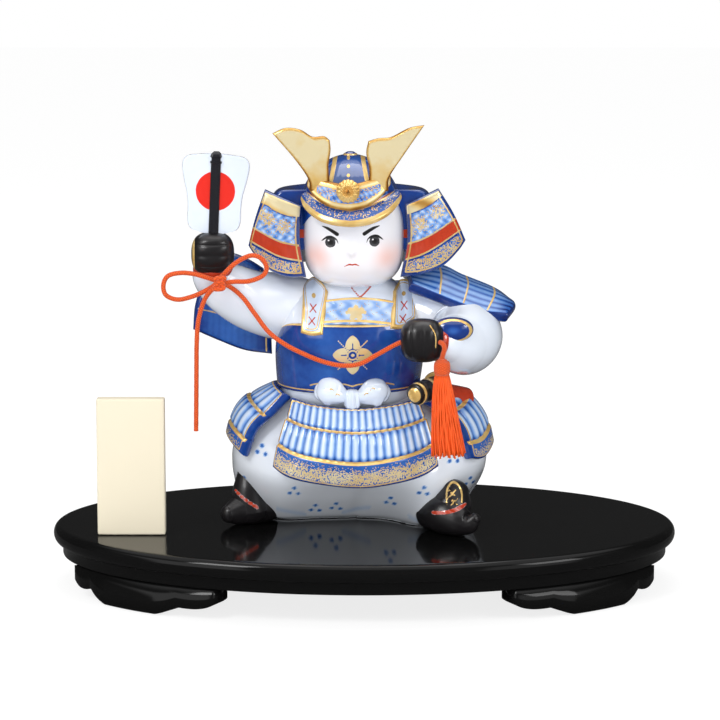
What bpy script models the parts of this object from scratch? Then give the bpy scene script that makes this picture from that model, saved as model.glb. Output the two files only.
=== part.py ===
"""Samurai doll: a seated porcelain boy warrior on an oval lacquered stand.

The figure is one slip-cast porcelain casting. It is built as a set of closed lofts, sweeps and
curved panels that one Boolean union joins, and it stands on its flat base. A separate war fan is
pushed through the raised fist, and one braided cord runs from the lower fist, across the chest, to
a bow at the raised wrist. A tassel hangs below the lower fist, and a small name board stands at
the side.

All sizes are millimetres. The doll's own sizes are measured from the centre of its base:
+X to its left hand, -Y to its front and +Z up.
"""
import math

import bmesh
import bpy
import numpy as np
from mathutils import Matrix, Vector

MM = 0.001
GAP = 0.3                    # clearance between pieces that touch
SEAM_ANGLE = 7.5             # faces flatter than this to each other are one face

# Stand
STAND_WIDTH = 316.0
STAND_DEPTH = 184.0
RIM_HEIGHT = 9.0             # bullnose rim of the board
RIM_ROUND = 3.6              # how far the bullnose draws in at the top
BAND_HEIGHT = 6.5            # stepped band under the rim
BAND_INSET = 4.5
FOOT_HEIGHT = 15.5
FOOT_THICKNESS = 13.0
FOOT_INNER_SHARE = 0.472     # where a foot starts, as a share of the band's half width
FOOT_OUTER_SHARE = 0.941     # where it ends
STAND_SIDES = 64
FOOT_STEPS = 18

# Name board
PLAQUE_WIDTH = 33.6
PLAQUE_HEIGHT = 68.0
PLAQUE_THICKNESS = 7.0
PLAQUE_BEVEL = 1.0
PLAQUE_X = -115.6
PLAQUE_Y = -32.0
PLAQUE_LEAN = 3.0            # degrees, backwards

# Doll on the stand
DOLL_X = -7.0
DOLL_Y = 0.0
WALL = 4.0                   # porcelain wall round the pouring hollow
VENT_RADIUS = 6.0            # hole in the base, left by slip casting
VENT_Y = 20.0
FLOOR_CUT = 200.0            # side of the block that levels the base

# Body
WAIST_Z = 70.0
CHEST_RISE = 45.0            # from the waist to the top of the breastplate
SHOULDER_RISE = 37.0         # from the waist to the shoulder joints
CHIN_RISE = 51.5             # from the waist to the chin
HEAD_WIDTH = 51.0
HEAD_DEPTH = 54.0
HEAD_HEIGHT = 50.4
CHIN_DROP = 1.0              # the face hangs this far below the chin line of the helmet
HEAD_X = 1.7
HEAD_SQUARE = 2.3            # superellipse exponent of the cheeks

# Helmet
BOWL_RADIUS = 29.6
DRAWN_BOWL = 29.6            # bowl that the helmet's fittings are drawn for
BOWL_DRAWN_Z = 156.5         # height of its middle in that drawing
BOWL_WIDTH = 0.862           # its reaches across and from front to back, against its height
BOWL_LENGTH = 1.014
BOWL_RISE = 35.0             # from the chin to the middle of the bowl
BOWL_RIBS = 16
KNOB_RADIUS = 3.6
BRIM_THICKNESS = 3.4
CREST_THICKNESS = 4.2
CREST_DEPTH = 9.0            # how far its back reaches, into the bowl
HORN_THICKNESS = 3.0
HORN_LEAN = 0.14             # forwards for each millimetre of rise
BOSS_RADIUS = 5.6
BOSS_MIDDLE = (-1.0, -35.4, 171.4)
GUARD_LAMES = 4              # laced plates of the neck guard
LAME_STEP = 1.3
GUARD_NECK = 0.3             # share of its profile above the first lame
GUARD_OPENING = (58.0, 73.0) # degrees from the front where it opens for the face
GUARD_LIFT = 13.0            # how much higher its foot is at the sides than behind
WING_THICKNESS = 6.0
WING_BACKING = 5.5           # how far its back reaches behind its middle, to the guard

# Dress
CHEST_SQUARE = 2.4           # superellipse exponent of the body's rings
PLATE_RISE = 35.5            # from the waist to the top edge of the breastplate
ARMHOLE_DROP = 9.0           # how far that edge drops under the arms
SASH_HEIGHT = 8.0
SASH_SWELL = 2.4
BOW_X = 1.0
STRAP_RAISE = 1.3
HEM_TUCK = 3.0               # height over which the foot of the trousers draws in
KNEE_SPREAD = 15.0
PANEL_THICKNESS = 5.0
SKIRT_DEPTH = 9.0            # how far the top of a skirt panel reaches into the body
EDGE_SHARE = 0.3             # thickness of a plate's edge, against the rest
RIB_DEPTH = 0.7
SKIRT_RIBS = 15
SIDE_RIBS = 8
BACK_RIBS = 9
LIP = 0.9                    # how far each laced tier overhangs the next
SHIELD_THICKNESS = 6.0

# Hands and fan
FIST_RADIUS = 10.6
FINGERS = 4
RAISED_FIST = (-68.0, -12.0, 138.0)
LOWER_FIST = (35.0, -44.0, 100.0)
FAN_HEIGHT = 38.0
FAN_HALF_TOP = 16.6
FAN_HALF_WAIST = 13.2
FAN_THICKNESS = 2.2
FAN_LIFT = FIST_RADIUS + 0.3   # from the raised fist's middle to the foot of the blade
FAN_LEAN = 2.7               # degrees, to the doll's left
SHAFT_WIDTH = 5.0
SHAFT_DEPTH = 4.6
SHAFT_ROUND = 0.7
SHAFT_BELOW = 6.5            # depth of its socket below the raised fist's middle
SHAFT_ABOVE = 1.8            # finial above the blade

# Cord and tassel
CORD_DIAMETER = 2.4
CORD_STEP = 5.6              # distance between the points of the tube
KNOT_RADIUS = 3.4
TASSEL_HEAD_RADIUS = 3.7
TASSEL_HEAD_HEIGHT = 8.0
TASSEL_LENGTH = 39.6
TASSEL_SPREAD = 8.6
TASSEL_SWAY = 3.4            # the threads hang a little to the doll's left
TASSEL_FOLDS = 14

# The cord's route in the doll's frame: out of the lower fist, across the chest to the bow, round
# its left loop and its right loop, and down the tail.
CORD_ROUTE = (
    (27.6, -46.2, 100.4), (22.2, -44.5, 98.1), (13.1, -41.9, 92.6), (4.6, -39.5, 87.6),
    (-4.0, -37.0, 86.4), (-12.7, -34.5, 87.7), (-21.3, -32.0, 90.6), (-31.5, -29.1, 95.2),
    (-40.1, -26.7, 101.4), (-47.0, -24.6, 110.2), (-52.6, -23.1, 117.6), (-58.2, -22.0, 122.4),
    (-64.4, -21.6, 125.4), (-69.9, -22.0, 127.4), (-76.7, -22.4, 129.4), (-83.3, -22.8, 130.0),
    (-89.4, -23.0, 128.5), (-91.7, -23.2, 124.1), (-90.5, -23.4, 119.1), (-84.8, -23.6, 116.9),
    (-77.7, -23.8, 118.4), (-71.3, -24.0, 121.2), (-66.6, -24.2, 124.2), (-62.8, -24.4, 128.7),
    (-55.9, -24.8, 135.3), (-48.5, -25.2, 138.9), (-43.1, -25.6, 137.2), (-40.9, -26.0, 132.5),
    (-43.4, -26.4, 128.7), (-50.0, -26.7, 126.4), (-57.3, -27.0, 126.2), (-63.9, -27.0, 124.8),
    (-68.9, -26.6, 120.9), (-72.2, -26.0, 115.3), (-74.8, -25.4, 105.5), (-75.6, -25.0, 94.5),
    (-75.8, -25.0, 85.0), (-76.1, -25.0, 67.9), (-76.4, -25.0, 51.3),
)


def material(name, colour, roughness, metallic=0.0):
    """A plain Principled material, made once for each name."""
    made = bpy.data.materials.get(name)
    if made is None:
        made = bpy.data.materials.new(name)
        made.use_nodes = True
        shader = made.node_tree.nodes["Principled BSDF"]
        shader.inputs["Base Color"].default_value = (*colour, 1.0)
        shader.inputs["Roughness"].default_value = roughness
        shader.inputs["Metallic"].default_value = metallic
    return made


def porcelain():
    return material("porcelain", (0.82, 0.85, 0.92), 0.12)


def cobalt():
    return material("cobalt_glaze", (0.02, 0.07, 0.32), 0.12)


def pale_blue():
    return material("pale_blue_glaze", (0.25, 0.38, 0.68), 0.15)


def gold():
    return material("gold_lustre", (0.83, 0.58, 0.22), 0.22, 1.0)


def black_glaze():
    return material("black_glaze", (0.012, 0.012, 0.014), 0.3)


def lacquer():
    return material("black_lacquer", (0.006, 0.006, 0.007), 0.08)


def cord_red():
    return material("cord_red", (0.80, 0.10, 0.02), 0.75)


def collection(name):
    """The named collection of the scene, made when it is first asked for."""
    made = bpy.data.collections.get(name)
    if made is None:
        made = bpy.data.collections.new(name)
        bpy.context.scene.collection.children.link(made)
    return made


def place(name, mesh, finish, parent=None, helper_of=None):
    """Put a mesh into the scene: a part, or a hidden helper of a Boolean."""
    made = bpy.data.objects.new(name, mesh)
    made.data.materials.clear()
    made.data.materials.append(finish)
    collection(helper_of or "samurai_doll").objects.link(made)
    if helper_of:
        made.hide_render = True
        made.display_type = "WIRE"
    made.parent = parent
    return made


def mesh_of(name, points, faces, soft_angle=35.0):
    """A mesh from points in millimetres, with its faces turned outwards."""
    mesh = bpy.data.meshes.new(name)
    mesh.from_pydata((np.asarray(points, dtype=float) * MM).tolist(), [], faces)
    shape = bmesh.new()
    shape.from_mesh(mesh)
    bmesh.ops.remove_doubles(shape, verts=shape.verts, dist=0.00001)
    bmesh.ops.recalc_face_normals(shape, faces=shape.faces)
    shape.to_mesh(mesh)
    shape.free()
    mesh.shade_smooth()
    mesh.set_sharp_from_angle(angle=math.radians(soft_angle))
    return mesh


def loft(name, rings):
    """A closed solid through a stack of rings, each end closed by a fan on its middle."""
    rings = np.asarray(rings, dtype=float)
    levels, sides = rings.shape[:2]
    points = rings.reshape(-1, 3).tolist()
    faces = []
    for level in range(levels - 1):
        for side in range(sides):
            near = level * sides + side
            next_side = level * sides + (side + 1) % sides
            faces.append((near, next_side, next_side + sides, near + sides))
    for level in (0, levels - 1):
        points.append(rings[level].mean(axis=0).tolist())
        hub = len(points) - 1
        start = level * sides
        faces.extend((hub, start + side, start + (side + 1) % sides) for side in range(sides))
    return mesh_of(name, points, faces)


def slab(name, face, back):
    """A closed curved panel between two grids of points with the same rows and columns."""
    face = np.asarray(face, dtype=float)
    back = np.asarray(back, dtype=float)
    rows, columns = face.shape[:2]
    count = rows * columns
    points = np.concatenate([face.reshape(-1, 3), back.reshape(-1, 3)]).tolist()
    faces = []
    for row in range(rows - 1):
        for column in range(columns - 1):
            at = row * columns + column
            quad = (at, at + 1, at + columns + 1, at + columns)
            faces.append(quad)
            faces.append(tuple(corner + count for corner in reversed(quad)))
    edge = list(range(columns))
    edge += [row * columns + columns - 1 for row in range(1, rows)]
    edge += [(rows - 1) * columns + column for column in range(columns - 2, -1, -1)]
    edge += [row * columns for row in range(rows - 2, 0, -1)]
    for here, there in zip(edge, edge[1:] + edge[:1]):
        faces.append((here, there, there + count, here + count))
    return mesh_of(name, points, faces)


def through(stations, count):
    """Rows read evenly from a smooth Catmull-Rom curve through a table's rows."""
    table = np.asarray(stations, dtype=float)
    first = 2 * table[0] - table[1]
    last = 2 * table[-1] - table[-2]
    table = np.vstack([first, table, last])
    spans = len(table) - 3
    at = np.linspace(0.0, spans, count)
    span = np.minimum(at.astype(int), spans - 1)
    t = (at - span)[:, None]
    a, b, c, d = (table[span + step] for step in range(4))
    return 0.5 * (2 * b + (c - a) * t + (2 * a - 5 * b + 4 * c - d) * t ** 2
                  + (3 * b - a - 3 * c + d) * t ** 3)


def row_at(table, key):
    """The other columns of a table where its first column has a value, on a smooth curve."""
    fine = through(table, 80)
    return [np.interp(key, fine[:, 0], fine[:, column]) for column in range(1, fine.shape[1])]


def shares(count, rim):
    """Shares 0 to 1 across a plate: even, apart from the first and last step, which are its rim."""
    return np.concatenate([[0.0], np.linspace(rim, 1.0 - rim, count - 2), [1.0]])


def along_edge(points, at):
    """Points at shares of the length of a smooth curve through an edge."""
    fine = through(points, 16 * len(points))
    run = np.concatenate([[0.0], np.cumsum(np.linalg.norm(np.diff(fine, axis=0), axis=1))])
    return np.stack([np.interp(at * run[-1], run, fine[:, axis]) for axis in range(3)], axis=1)


def four_sided(top, low, left, right, u, v):
    """A grid between four edges: the two rulings between facing edges, less the flat corners."""
    a, b = along_edge(top, u), along_edge(low, u)
    c, d = along_edge(left, v), along_edge(right, v)
    u, v = u[None, :, None], v[:, None, None]
    ruled = (1 - v) * a[None] + v * b[None] + (1 - u) * c[:, None] + u * d[:, None]
    corners = (1 - u) * (1 - v) * a[0] + u * (1 - v) * a[-1] + (1 - u) * v * b[0] + u * v * b[-1]
    return ruled - corners


def plate(name, grid, front, back, relief=0.0):
    """A closed plate on a grid seen from its front, with thinned edges and a relief on that side."""
    normal = np.cross(np.gradient(grid, axis=0), np.gradient(grid, axis=1))
    normal /= np.linalg.norm(normal, axis=-1, keepdims=True)
    full = np.ones(grid.shape[:2])
    full[[0, -1]] = EDGE_SHARE
    full[:, [0, -1]] = EDGE_SHARE
    rise = np.where(full < 1.0, front * full, front + relief)
    return slab(name, grid + normal * rise[..., None], grid - normal * (back * full)[..., None])


def blend(low, high, t):
    """A value between two others, or between two points."""
    return low + (high - low) * t


def oval_ring(left, right, front, back, height, square=2.0, sides=40):
    """A level ring whose four reaches are given: a superellipse of the given exponent."""
    angle = np.linspace(0.0, 2 * math.pi, sides, endpoint=False)
    across, along = np.cos(angle), np.sin(angle)
    swell = (np.abs(across) ** square + np.abs(along) ** square) ** (-1.0 / square)
    x = (left + right) / 2 + (right - left) / 2 * across * swell
    y = (front + back) / 2 + (back - front) / 2 * along * swell
    return np.stack([x, y, np.full(sides, height)], axis=1)


def egg(name, middle, radii, square=2.0, rise_square=2.0, sides=24, levels=12):
    """A closed superellipsoid: one exponent for its plan and one for its rise."""
    rings = []
    for level in range(levels):
        tilt = -math.pi / 2 + math.pi * (level + 0.5) / levels
        swell = (math.cos(tilt) ** rise_square + abs(math.sin(tilt)) ** rise_square) ** (-1 / rise_square)
        out = math.cos(tilt) * swell
        ring = oval_ring(-out, out, -out, out, math.sin(tilt) * swell, square, sides)
        rings.append(ring * np.asarray(radii))
    return loft(name, np.asarray(rings) + np.asarray(middle, dtype=float))


def rounded_ends(stations):
    """Stations with each end rounded off by smaller rings on a quarter circle."""
    rows = [np.asarray(row, dtype=float) for row in stations]
    caps = []
    for end, inner in ((rows[0], rows[1]), (rows[-1], rows[-2])):
        way = (end - inner)[:3]
        way /= np.linalg.norm(way)
        caps.append([np.append(end[:3] + way * end[3] * math.sin(turn) * 0.8, end[3] * math.cos(turn))
                     for turn in (1.45, 1.1, 0.6)])
    return caps[0] + rows + caps[1][::-1]


def limb(name, stations, sides=16, steps=10, squash=1.0):
    """A round sweep along a curved path: each station is x, y, z and a radius."""
    rows = through(stations, steps)
    path, radii = rows[:, :3], np.maximum(rows[:, 3], 0.3)
    heading = np.gradient(path, axis=0)
    heading /= np.linalg.norm(heading, axis=1, keepdims=True)
    least = np.argmin(np.abs(heading[0]))
    side = np.cross(heading[0], np.eye(3)[least])
    angle = np.linspace(0.0, 2 * math.pi, sides, endpoint=False)[:, None]
    rings = []
    for middle, way, radius in zip(path, heading, radii):
        side = side - way * np.dot(side, way)
        side /= np.linalg.norm(side)
        rise = np.cross(way, side)
        rings.append(middle + radius * (side * np.cos(angle) + squash * rise * np.sin(angle)))
    return loft(name, rings)


# Trousers

def trouser_stations():
    """Height, left, right, front, back, forward bulge of each knee, and squareness of the ring."""
    return (
        (0.0, -55.0, 54.0, 3.0, 46.0, 7.0, 24.0, 2.7), (4.0, -57.5, 58.0, -3.0, 50.0, 8.0, 24.0, 2.6),
        (16.0, -59.5, 65.0, -17.0, 54.0, 8.0, 16.0, 2.5),
        (28.0, -60.5, 69.0, -29.0, 54.0, 5.0, 8.0, 2.4),
        (38.0, -59.5, 68.0, -30.0, 50.0, 2.0, 3.0, 2.3),
        (WAIST_Z - 22.0, -53.0, 59.0, -28.0, 45.0, 0.0, 0.0, 2.2),
        (WAIST_Z - 12.0, -42.0, 46.0, -25.0, 39.0, 0.0, 0.0, 2.2),
        (WAIST_Z - 4.0, -34.0, 35.0, -23.0, 34.0, 0.0, 0.0, 2.3),
        (WAIST_Z + 3.0, -30.0, 29.0, -20.0, 31.0, 0.0, 0.0, 2.4),
    )


def trousers(name, inset=0.0, levels=10, sides=44):
    """Baggy trousers: oval rings that bulge forwards over the knees. An inset gives their hollow."""
    heights = np.linspace(HEM_TUCK, WAIST_Z + 3.0, levels)
    if inset:
        heights = np.linspace(inset, WAIST_Z - inset, levels)
    else:
        heights = np.concatenate([(-HEM_TUCK, 0.0, HEM_TUCK / 3), heights])
    rings = []
    for height in heights:
        left, right, front, back, near_knee, far_knee, square = row_at(trouser_stations(), max(height, 0.0))
        tuck = inset + 2.0 * (1.0 - math.sin(math.acos(1.0 - min(max(height, 0.0) / HEM_TUCK, 1.0))))
        ring = oval_ring(left + tuck, right - tuck, front + tuck, back - tuck, height, square, sides)
        middle = (front + back) / 2
        facing = np.clip((middle - ring[:, 1]) / (middle - front), 0.0, 1.0) ** 0.7
        bulge = near_knee * np.exp(-((ring[:, 0] + 38.0) / KNEE_SPREAD) ** 2)
        bulge += far_knee * np.exp(-((ring[:, 0] - 40.0) / KNEE_SPREAD) ** 2)
        ring[:, 1] -= bulge * facing
        rings.append(ring)
    return loft(name, rings)


# Breastplate and sash

def chest_stations():
    """Rise above the waist, then left, right, front and back."""
    return (
        (-8.0, -33.0, 31.0, -24.0, 33.0),
        (0.0, -35.8, 33.8, -27.5, 36.0),
        (16.0, -36.8, 35.8, -31.0, 37.0),
        (30.0, -36.0, 35.5, -31.0, 36.0),
        (38.0, -34.0, 33.5, -27.5, 34.0),
        (CHEST_RISE, -30.0, 30.0, -20.0, 30.0),
        (CHEST_RISE + 5.0, -24.0, 25.0, -13.0, 25.0),
        (CHEST_RISE + 10.0, -15.0, 18.0, -7.0, 18.0),
    )


def chest_front(x, rise):
    """Where the front of the chest lies, at a place across and a rise above the waist."""
    left, right, front, back = row_at(chest_stations(), rise)
    across = np.clip(np.abs(x - (left + right) / 2) / ((right - left) / 2), 0.0, 0.98)
    return (front + back) / 2 - (back - front) / 2 * (1 - across ** CHEST_SQUARE) ** (1 / CHEST_SQUARE)


def chest_ring(rise, swell, sides=36):
    """A ring of the chest, swollen outwards by some millimetres."""
    left, right, front, back = row_at(chest_stations(), rise)
    return oval_ring(left - swell, right + swell, front - swell, back + swell, WAIST_Z + rise,
                     CHEST_SQUARE, sides)


def chest(name, inset=0.0, levels=9, sides=36):
    """The body above the waist, with sloping shoulders. An inset gives its hollow."""
    top = CHEST_RISE - inset if inset else CHEST_RISE + 10.0
    return loft(name, [chest_ring(rise, -inset, sides) for rise in np.linspace(-8.0, top, levels)])


def breastplate():
    """The smooth barrel of the armour, with a rolled foot and a top edge cut away under the arms."""
    rings = []
    for share, swell in ((0.0, -1.0), (0.0, 1.5), (0.04, 1.6), (0.09, 1.0), (0.35, 1.0), (0.65, 1.0),
                         (0.85, 1.0), (0.975, 1.0), (1.0, -1.0)):
        ring = chest_ring(blend(0.3, PLATE_RISE, share), swell)
        angle = np.degrees(np.arctan2(ring[:, 0], -ring[:, 1]))
        ring[:, 2] -= ARMHOLE_DROP * share ** 3 * np.exp(-((np.abs(angle) - 90.0) / 26.0) ** 2)
        rings.append(ring)
    return loft("breastplate", rings)


def sash():
    """A rounded belt that stands proud of the waist."""
    rings = []
    for share in (0.0, 0.12, 0.5, 0.88, 1.0):
        swell = SASH_SWELL * (1.0 - abs(2 * share - 1) ** 3) - 0.8
        rings.append(chest_ring(blend(-SASH_HEIGHT, 0.6, share), swell))
    return loft("sash", rings)


def on_chest(outline, raise_by):
    """Edge points given as x and z, set on the front of the chest and raised a little."""
    return [(x, float(chest_front(x, z - WAIST_Z)) - raise_by, z) for x, z in outline]


def strap(name, top, low):
    """A shoulder strap with a pointed top, raised on the chest between two edges."""
    left, right = (top[0], low[0]), (top[-1], low[-1])
    grid = four_sided(*(on_chest(edge, STRAP_RAISE) for edge in (top, low, left, right)),
                      shares(7, 0.12), shares(8, 0.06))
    return plate(name, grid, STRAP_RAISE, 3.0)


def straps():
    rise = WAIST_Z + CHEST_RISE
    near = strap("near_strap", (
        (-23.2, rise + 4.6), (-20.6, rise + 8.0), (-17.4, rise + 9.4), (-14.0, rise + 7.8),
        (-11.2, rise + 4.6)), ((-24.2, rise - 14.4), (-19.0, rise - 15.2), (-13.4, rise - 14.4)))
    far = strap("far_strap", (
        (21.6, rise + 4.0), (24.0, rise + 7.2), (26.9, rise + 8.6), (29.8, rise + 6.8),
        (32.2, rise + 3.4)), ((19.6, rise - 12.0), (25.4, rise - 12.4), (31.6, rise - 9.4)))
    return near, far


def chest_band():
    """The raised band between the straps, across the top of the breastplate."""
    rise = WAIST_Z + CHEST_RISE
    top = on_chest(((-13.0, rise + 0.6), (-4.0, rise + 1.7), (4.5, rise + 2.0), (13.0, rise + 1.4),
                    (21.5, rise - 0.2)), 0.7)
    low = on_chest(((-14.5, rise - 10.1), (-5.0, rise - 9.4), (4.0, rise - 9.3), (13.0, rise - 10.0),
                    (22.5, rise - 11.6)), 0.7)
    grid = four_sided(top, low, (top[0], low[0]), (top[-1], low[-1]), shares(13, 0.04), shares(5, 0.1))
    return plate("chest_band", grid, 1.0, 3.0)


def bow_lobe(name, way):
    """One wing of the sash bow: a flattened sweep that opens from the knot."""
    y = float(chest_front(BOW_X, 0.0)) - 2.6
    rows = [(BOW_X + way * out, y + deep, WAIST_Z + rise, radius) for out, deep, rise, radius in (
        (0.8, -1.0, -1.0, 2.0), (2.7, -1.4, -0.8, 2.8), (5.8, -2.2, 0.4, 4.6), (9.9, -1.8, 1.8, 6.4),
        (13.5, -0.2, 1.8, 5.4), (15.6, 1.4, 1.2, 3.2), (17.4, 2.8, 1.0, 1.0))]
    return limb(name, rows, 14, 10, 0.66)


# Skirt panels

def skirt(name, top, low, left, right, swell, way, ribs, tiers, depth):
    """A laced panel between four edges: upright ribs down to the last tier, and a lip at each tier.

    swell pushes the middle of the panel out along way, and depth is how far its back reaches in.
    """
    u = shares(2 * ribs + 1, 0.5 / ribs)
    v = np.array([0.0, 0.05] + [line + step for line in tiers for step in (-0.01, 0.04)] + [0.95, 1.0])
    grid = four_sided(top, low, left, right, u, v)
    dome = np.sin(math.pi * v)[:, None] * (1 - (2 * u - 1) ** 2)[None, :]
    grid += swell * dome[..., None] * np.array(way)
    rib = np.where(np.arange(len(u)) % 2 == 1, RIB_DEPTH, 0.0)[None, :] * (v < tiers[-1])[:, None]
    lip = sum(LIP * (v > line) for line in tiers)[:, None]
    return plate(name, grid, PANEL_THICKNESS / 2, blend(depth, PANEL_THICKNESS / 2, v)[:, None],
                 rib + lip)


def front_skirt():
    top = ((-28.5, -19.0, WAIST_Z - 3.0), (-16.0, -28.0, WAIST_Z - 5.4), (1.0, -31.5, WAIST_Z - 6.8),
           (18.0, -28.5, WAIST_Z - 5.8), (33.5, -19.0, WAIST_Z - 3.8))
    low = ((-37.0, -31.0, 33.8), (-29.0, -37.5, 30.2), (-14.5, -41.5, 28.4), (4.5, -43.4, 27.2),
           (20.0, -42.0, 28.4), (34.0, -37.5, 30.6), (42.8, -32.0, 34.4))
    left = (top[0], (-30.6, -24.5, 57.5), (-34.0, -28.5, 46.6), low[0])
    right = (top[-1], (36.2, -24.5, 58.2), (39.6, -28.5, 47.4), low[-1])
    return skirt("front_skirt", top, low, left, right, 5.0, (0.0, -1.0, 0.0), SKIRT_RIBS, (0.31, 0.66),
                 SKIRT_DEPTH)


def back_skirt():
    top = ((33.0, 24.0, WAIST_Z - 2.0), (16.0, 36.0, WAIST_Z - 3.0), (0.0, 38.5, WAIST_Z - 3.5),
           (-17.0, 36.0, WAIST_Z - 3.0), (-35.0, 24.0, WAIST_Z - 2.0))
    low = ((48.0, 42.0, 36.0), (26.0, 53.0, 31.5), (2.0, 56.5, 30.5), (-22.0, 53.0, 31.5),
           (-44.0, 42.0, 36.0))
    left = (top[0], (40.0, 34.0, 54.0), low[0])
    right = (top[-1], (-39.5, 34.0, 54.0), low[-1])
    return skirt("back_skirt", top, low, left, right, 5.0, (0.0, 1.0, 0.0), BACK_RIBS, (0.31, 0.66),
                 SKIRT_DEPTH)


def side_skirts():
    """Both side panels, each from the edge that is on the left as it is seen from outside."""
    near = skirt(
        "near_skirt",
        ((-34.0, 17.0, WAIST_Z - 3.0), (-36.0, 4.0, WAIST_Z - 1.0), (-34.5, -8.0, WAIST_Z - 1.0),
         (-30.0, -18.0, WAIST_Z - 2.5)),
        ((-57.5, 17.0, 42.0), (-59.5, 2.0, 43.0), (-57.0, -10.0, 41.0), (-51.8, -19.0, 37.0)),
        ((-34.0, 17.0, WAIST_Z - 3.0), (-44.5, 19.0, 61.5), (-52.5, 19.0, 53.5), (-57.5, 17.0, 42.0)),
        ((-30.0, -18.0, WAIST_Z - 2.5), (-38.2, -20.5, 59.0), (-46.6, -20.5, 50.6), (-51.8, -19.0, 37.0)),
        1.0, (-1.5, 0.0, 1.0), SIDE_RIBS, (0.40, 0.78), SKIRT_DEPTH)
    far = skirt(
        "far_skirt",
        ((33.0, -17.0, WAIST_Z - 4.0), (37.5, -7.0, WAIST_Z - 1.5), (38.5, 5.0, WAIST_Z - 1.5),
         (36.0, 17.0, WAIST_Z - 3.5)),
        ((58.0, -18.0, 35.5), (64.5, -10.0, 34.0), (69.0, 2.0, 38.0), (67.5, 17.0, 39.5)),
        ((33.0, -17.0, WAIST_Z - 4.0), (44.5, -20.0, 60.5), (53.5, -20.5, 50.5), (58.0, -18.0, 35.5)),
        ((36.0, 17.0, WAIST_Z - 3.5), (50.0, 19.0, 62.5), (61.5, 19.0, 52.0), (67.5, 17.0, 39.5)),
        1.0, (2.0, 0.0, 1.5), SIDE_RIBS, (0.40, 0.78), SKIRT_DEPTH)
    return near, far


# Arms, shields and fists

def raised_sleeve():
    shoulder = WAIST_Z + SHOULDER_RISE
    x, y, z = RAISED_FIST
    return limb("raised_sleeve", (
        (-10.0, 8.0, shoulder - 2.0, 10.0), (-22.0, 6.0, shoulder, 15.5),
        (-37.0, 2.0, shoulder + 2.6, 16.6), (-50.0, -1.0, shoulder + 6.0, 15.2),
        (x + 6.5, y + 7.0, z - 18.0, 13.2), (x + 0.5, y + 3.4, z - 11.5, 10.8),
        (x - 0.6, y + 1.8, z - 7.0, 9.0),
    ), 16, 12)


def lower_sleeve():
    shoulder = WAIST_Z + SHOULDER_RISE
    x, y, z = LOWER_FIST
    return limb("lower_sleeve", (
        (6.0, 9.0, shoulder - 1.0, 10.0), (18.0, 8.0, shoulder, 14.5),
        (36.0, 6.0, shoulder - 2.0, 16.5), (51.0, 0.0, shoulder - 7.5, 19.0),
        (57.0, -12.0, shoulder - 11.0, 18.6), (53.0, -27.0, shoulder - 11.5, 14.6),
        (x + 12.0, y + 7.0, z - 2.2, 10.6), (x + 7.0, y + 2.6, z - 1.0, 8.8),
    ), 16, 15)


def cuff(name, fist, towards, radius):
    """A rounded ring between a fist and its sleeve."""
    start = np.array(fist, float)
    way = np.array(towards, float)
    way /= np.linalg.norm(way)
    rows = [(*(start + way * out), radius * swell) for out, swell in (
        (4.6, 0.8), (5.4, 0.93), (6.6, 1.0), (8.6, 1.02), (9.8, 0.95), (10.6, 0.8))]
    return limb(name, rows, 14, 5)


def fist(name, middle, turned_over=False):
    """A gloved fist: a rounded block whose front carries the ridges of four bent fingers."""
    levels = 3 * FINGERS + 1
    rings = []
    for level in range(levels):
        tilt = -math.pi / 2 + math.pi * (level + 0.5) / levels
        up = math.copysign(abs(math.sin(tilt)) ** 0.8, math.sin(tilt))
        out = abs(math.cos(tilt)) ** 0.62
        ring = oval_ring(-out, out, -out, out, up, 2.4, 14)
        groove = 0.075 * (1 - abs(math.sin(math.pi * FINGERS / 2 * (up + 1))) ** 0.5) * (abs(up) < 0.9)
        ring[:, 1] *= 1.0 - groove * np.clip(-ring[:, 1], 0.0, 1.0) ** 0.6
        rings.append(ring * np.array((FIST_RADIUS, FIST_RADIUS * 0.92, FIST_RADIUS)))
    rings = np.asarray(rings)
    if turned_over:
        rings = rings[..., [2, 1, 0]] * np.array((1.0, 1.0, -1.0))
    return loft(name, rings + np.asarray(middle))


def shields():
    """The two shoulder shields: the near one hangs behind its arm, the far one lies on top."""
    top = WAIST_Z + SHOULDER_RISE
    near = four_sided(
        ((-67.0, 13.0, top + 24.0), (-60.5, 14.0, top + 28.0), (-52.0, 15.0, top + 25.0),
         (-44.0, 15.0, top + 20.0)),
        ((-79.8, 11.5, top - 10.6), (-67.0, 14.5, top - 16.8), (-54.0, 16.0, top - 22.0),
         (-40.0, 17.0, top - 24.2)),
        ((-67.0, 13.0, top + 24.0), (-74.5, 12.0, top + 13.0), (-78.6, 11.5, top + 2.0),
         (-79.8, 11.5, top - 10.6)),
        ((-44.0, 15.0, top + 20.0), (-41.0, 17.0, top - 2.0), (-40.0, 17.0, top - 24.2)),
        shares(7, 0.06), shares(8, 0.05))
    far = four_sided(
        ((26.0, 14.0, top + 17.0), (43.2, 14.0, top + 20.6), (55.0, 14.0, top + 15.6),
         (71.7, 14.0, top + 8.4), (81.0, 13.0, top + 0.6)),
        ((29.0, -15.0, top + 14.6), (42.4, -16.0, top + 8.9), (55.0, -16.5, top + 4.0),
         (66.0, -17.0, top + 0.6), (78.0, -15.5, top - 0.8)),
        ((26.0, 14.0, top + 17.0), (28.0, 0.0, top + 17.6), (29.0, -15.0, top + 14.6)),
        ((81.0, 13.0, top + 0.6), (82.4, -1.0, top + 1.6), (78.0, -15.5, top - 0.8)),
        shares(9, 0.05), shares(6, 0.08))
    half = SHIELD_THICKNESS / 2
    return plate("near_shield", near, half, half), plate("far_shield", far, half, half)


def arm_guard():
    """The oval guard on the forearm."""
    x, y, z = LOWER_FIST
    return egg("arm_guard", (x + 14.8, y + 2.5, z + 5.0), (10.0, 5.5, 6.0), 2.2, 2.2, 20, 10)


# Head and helmet

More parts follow.
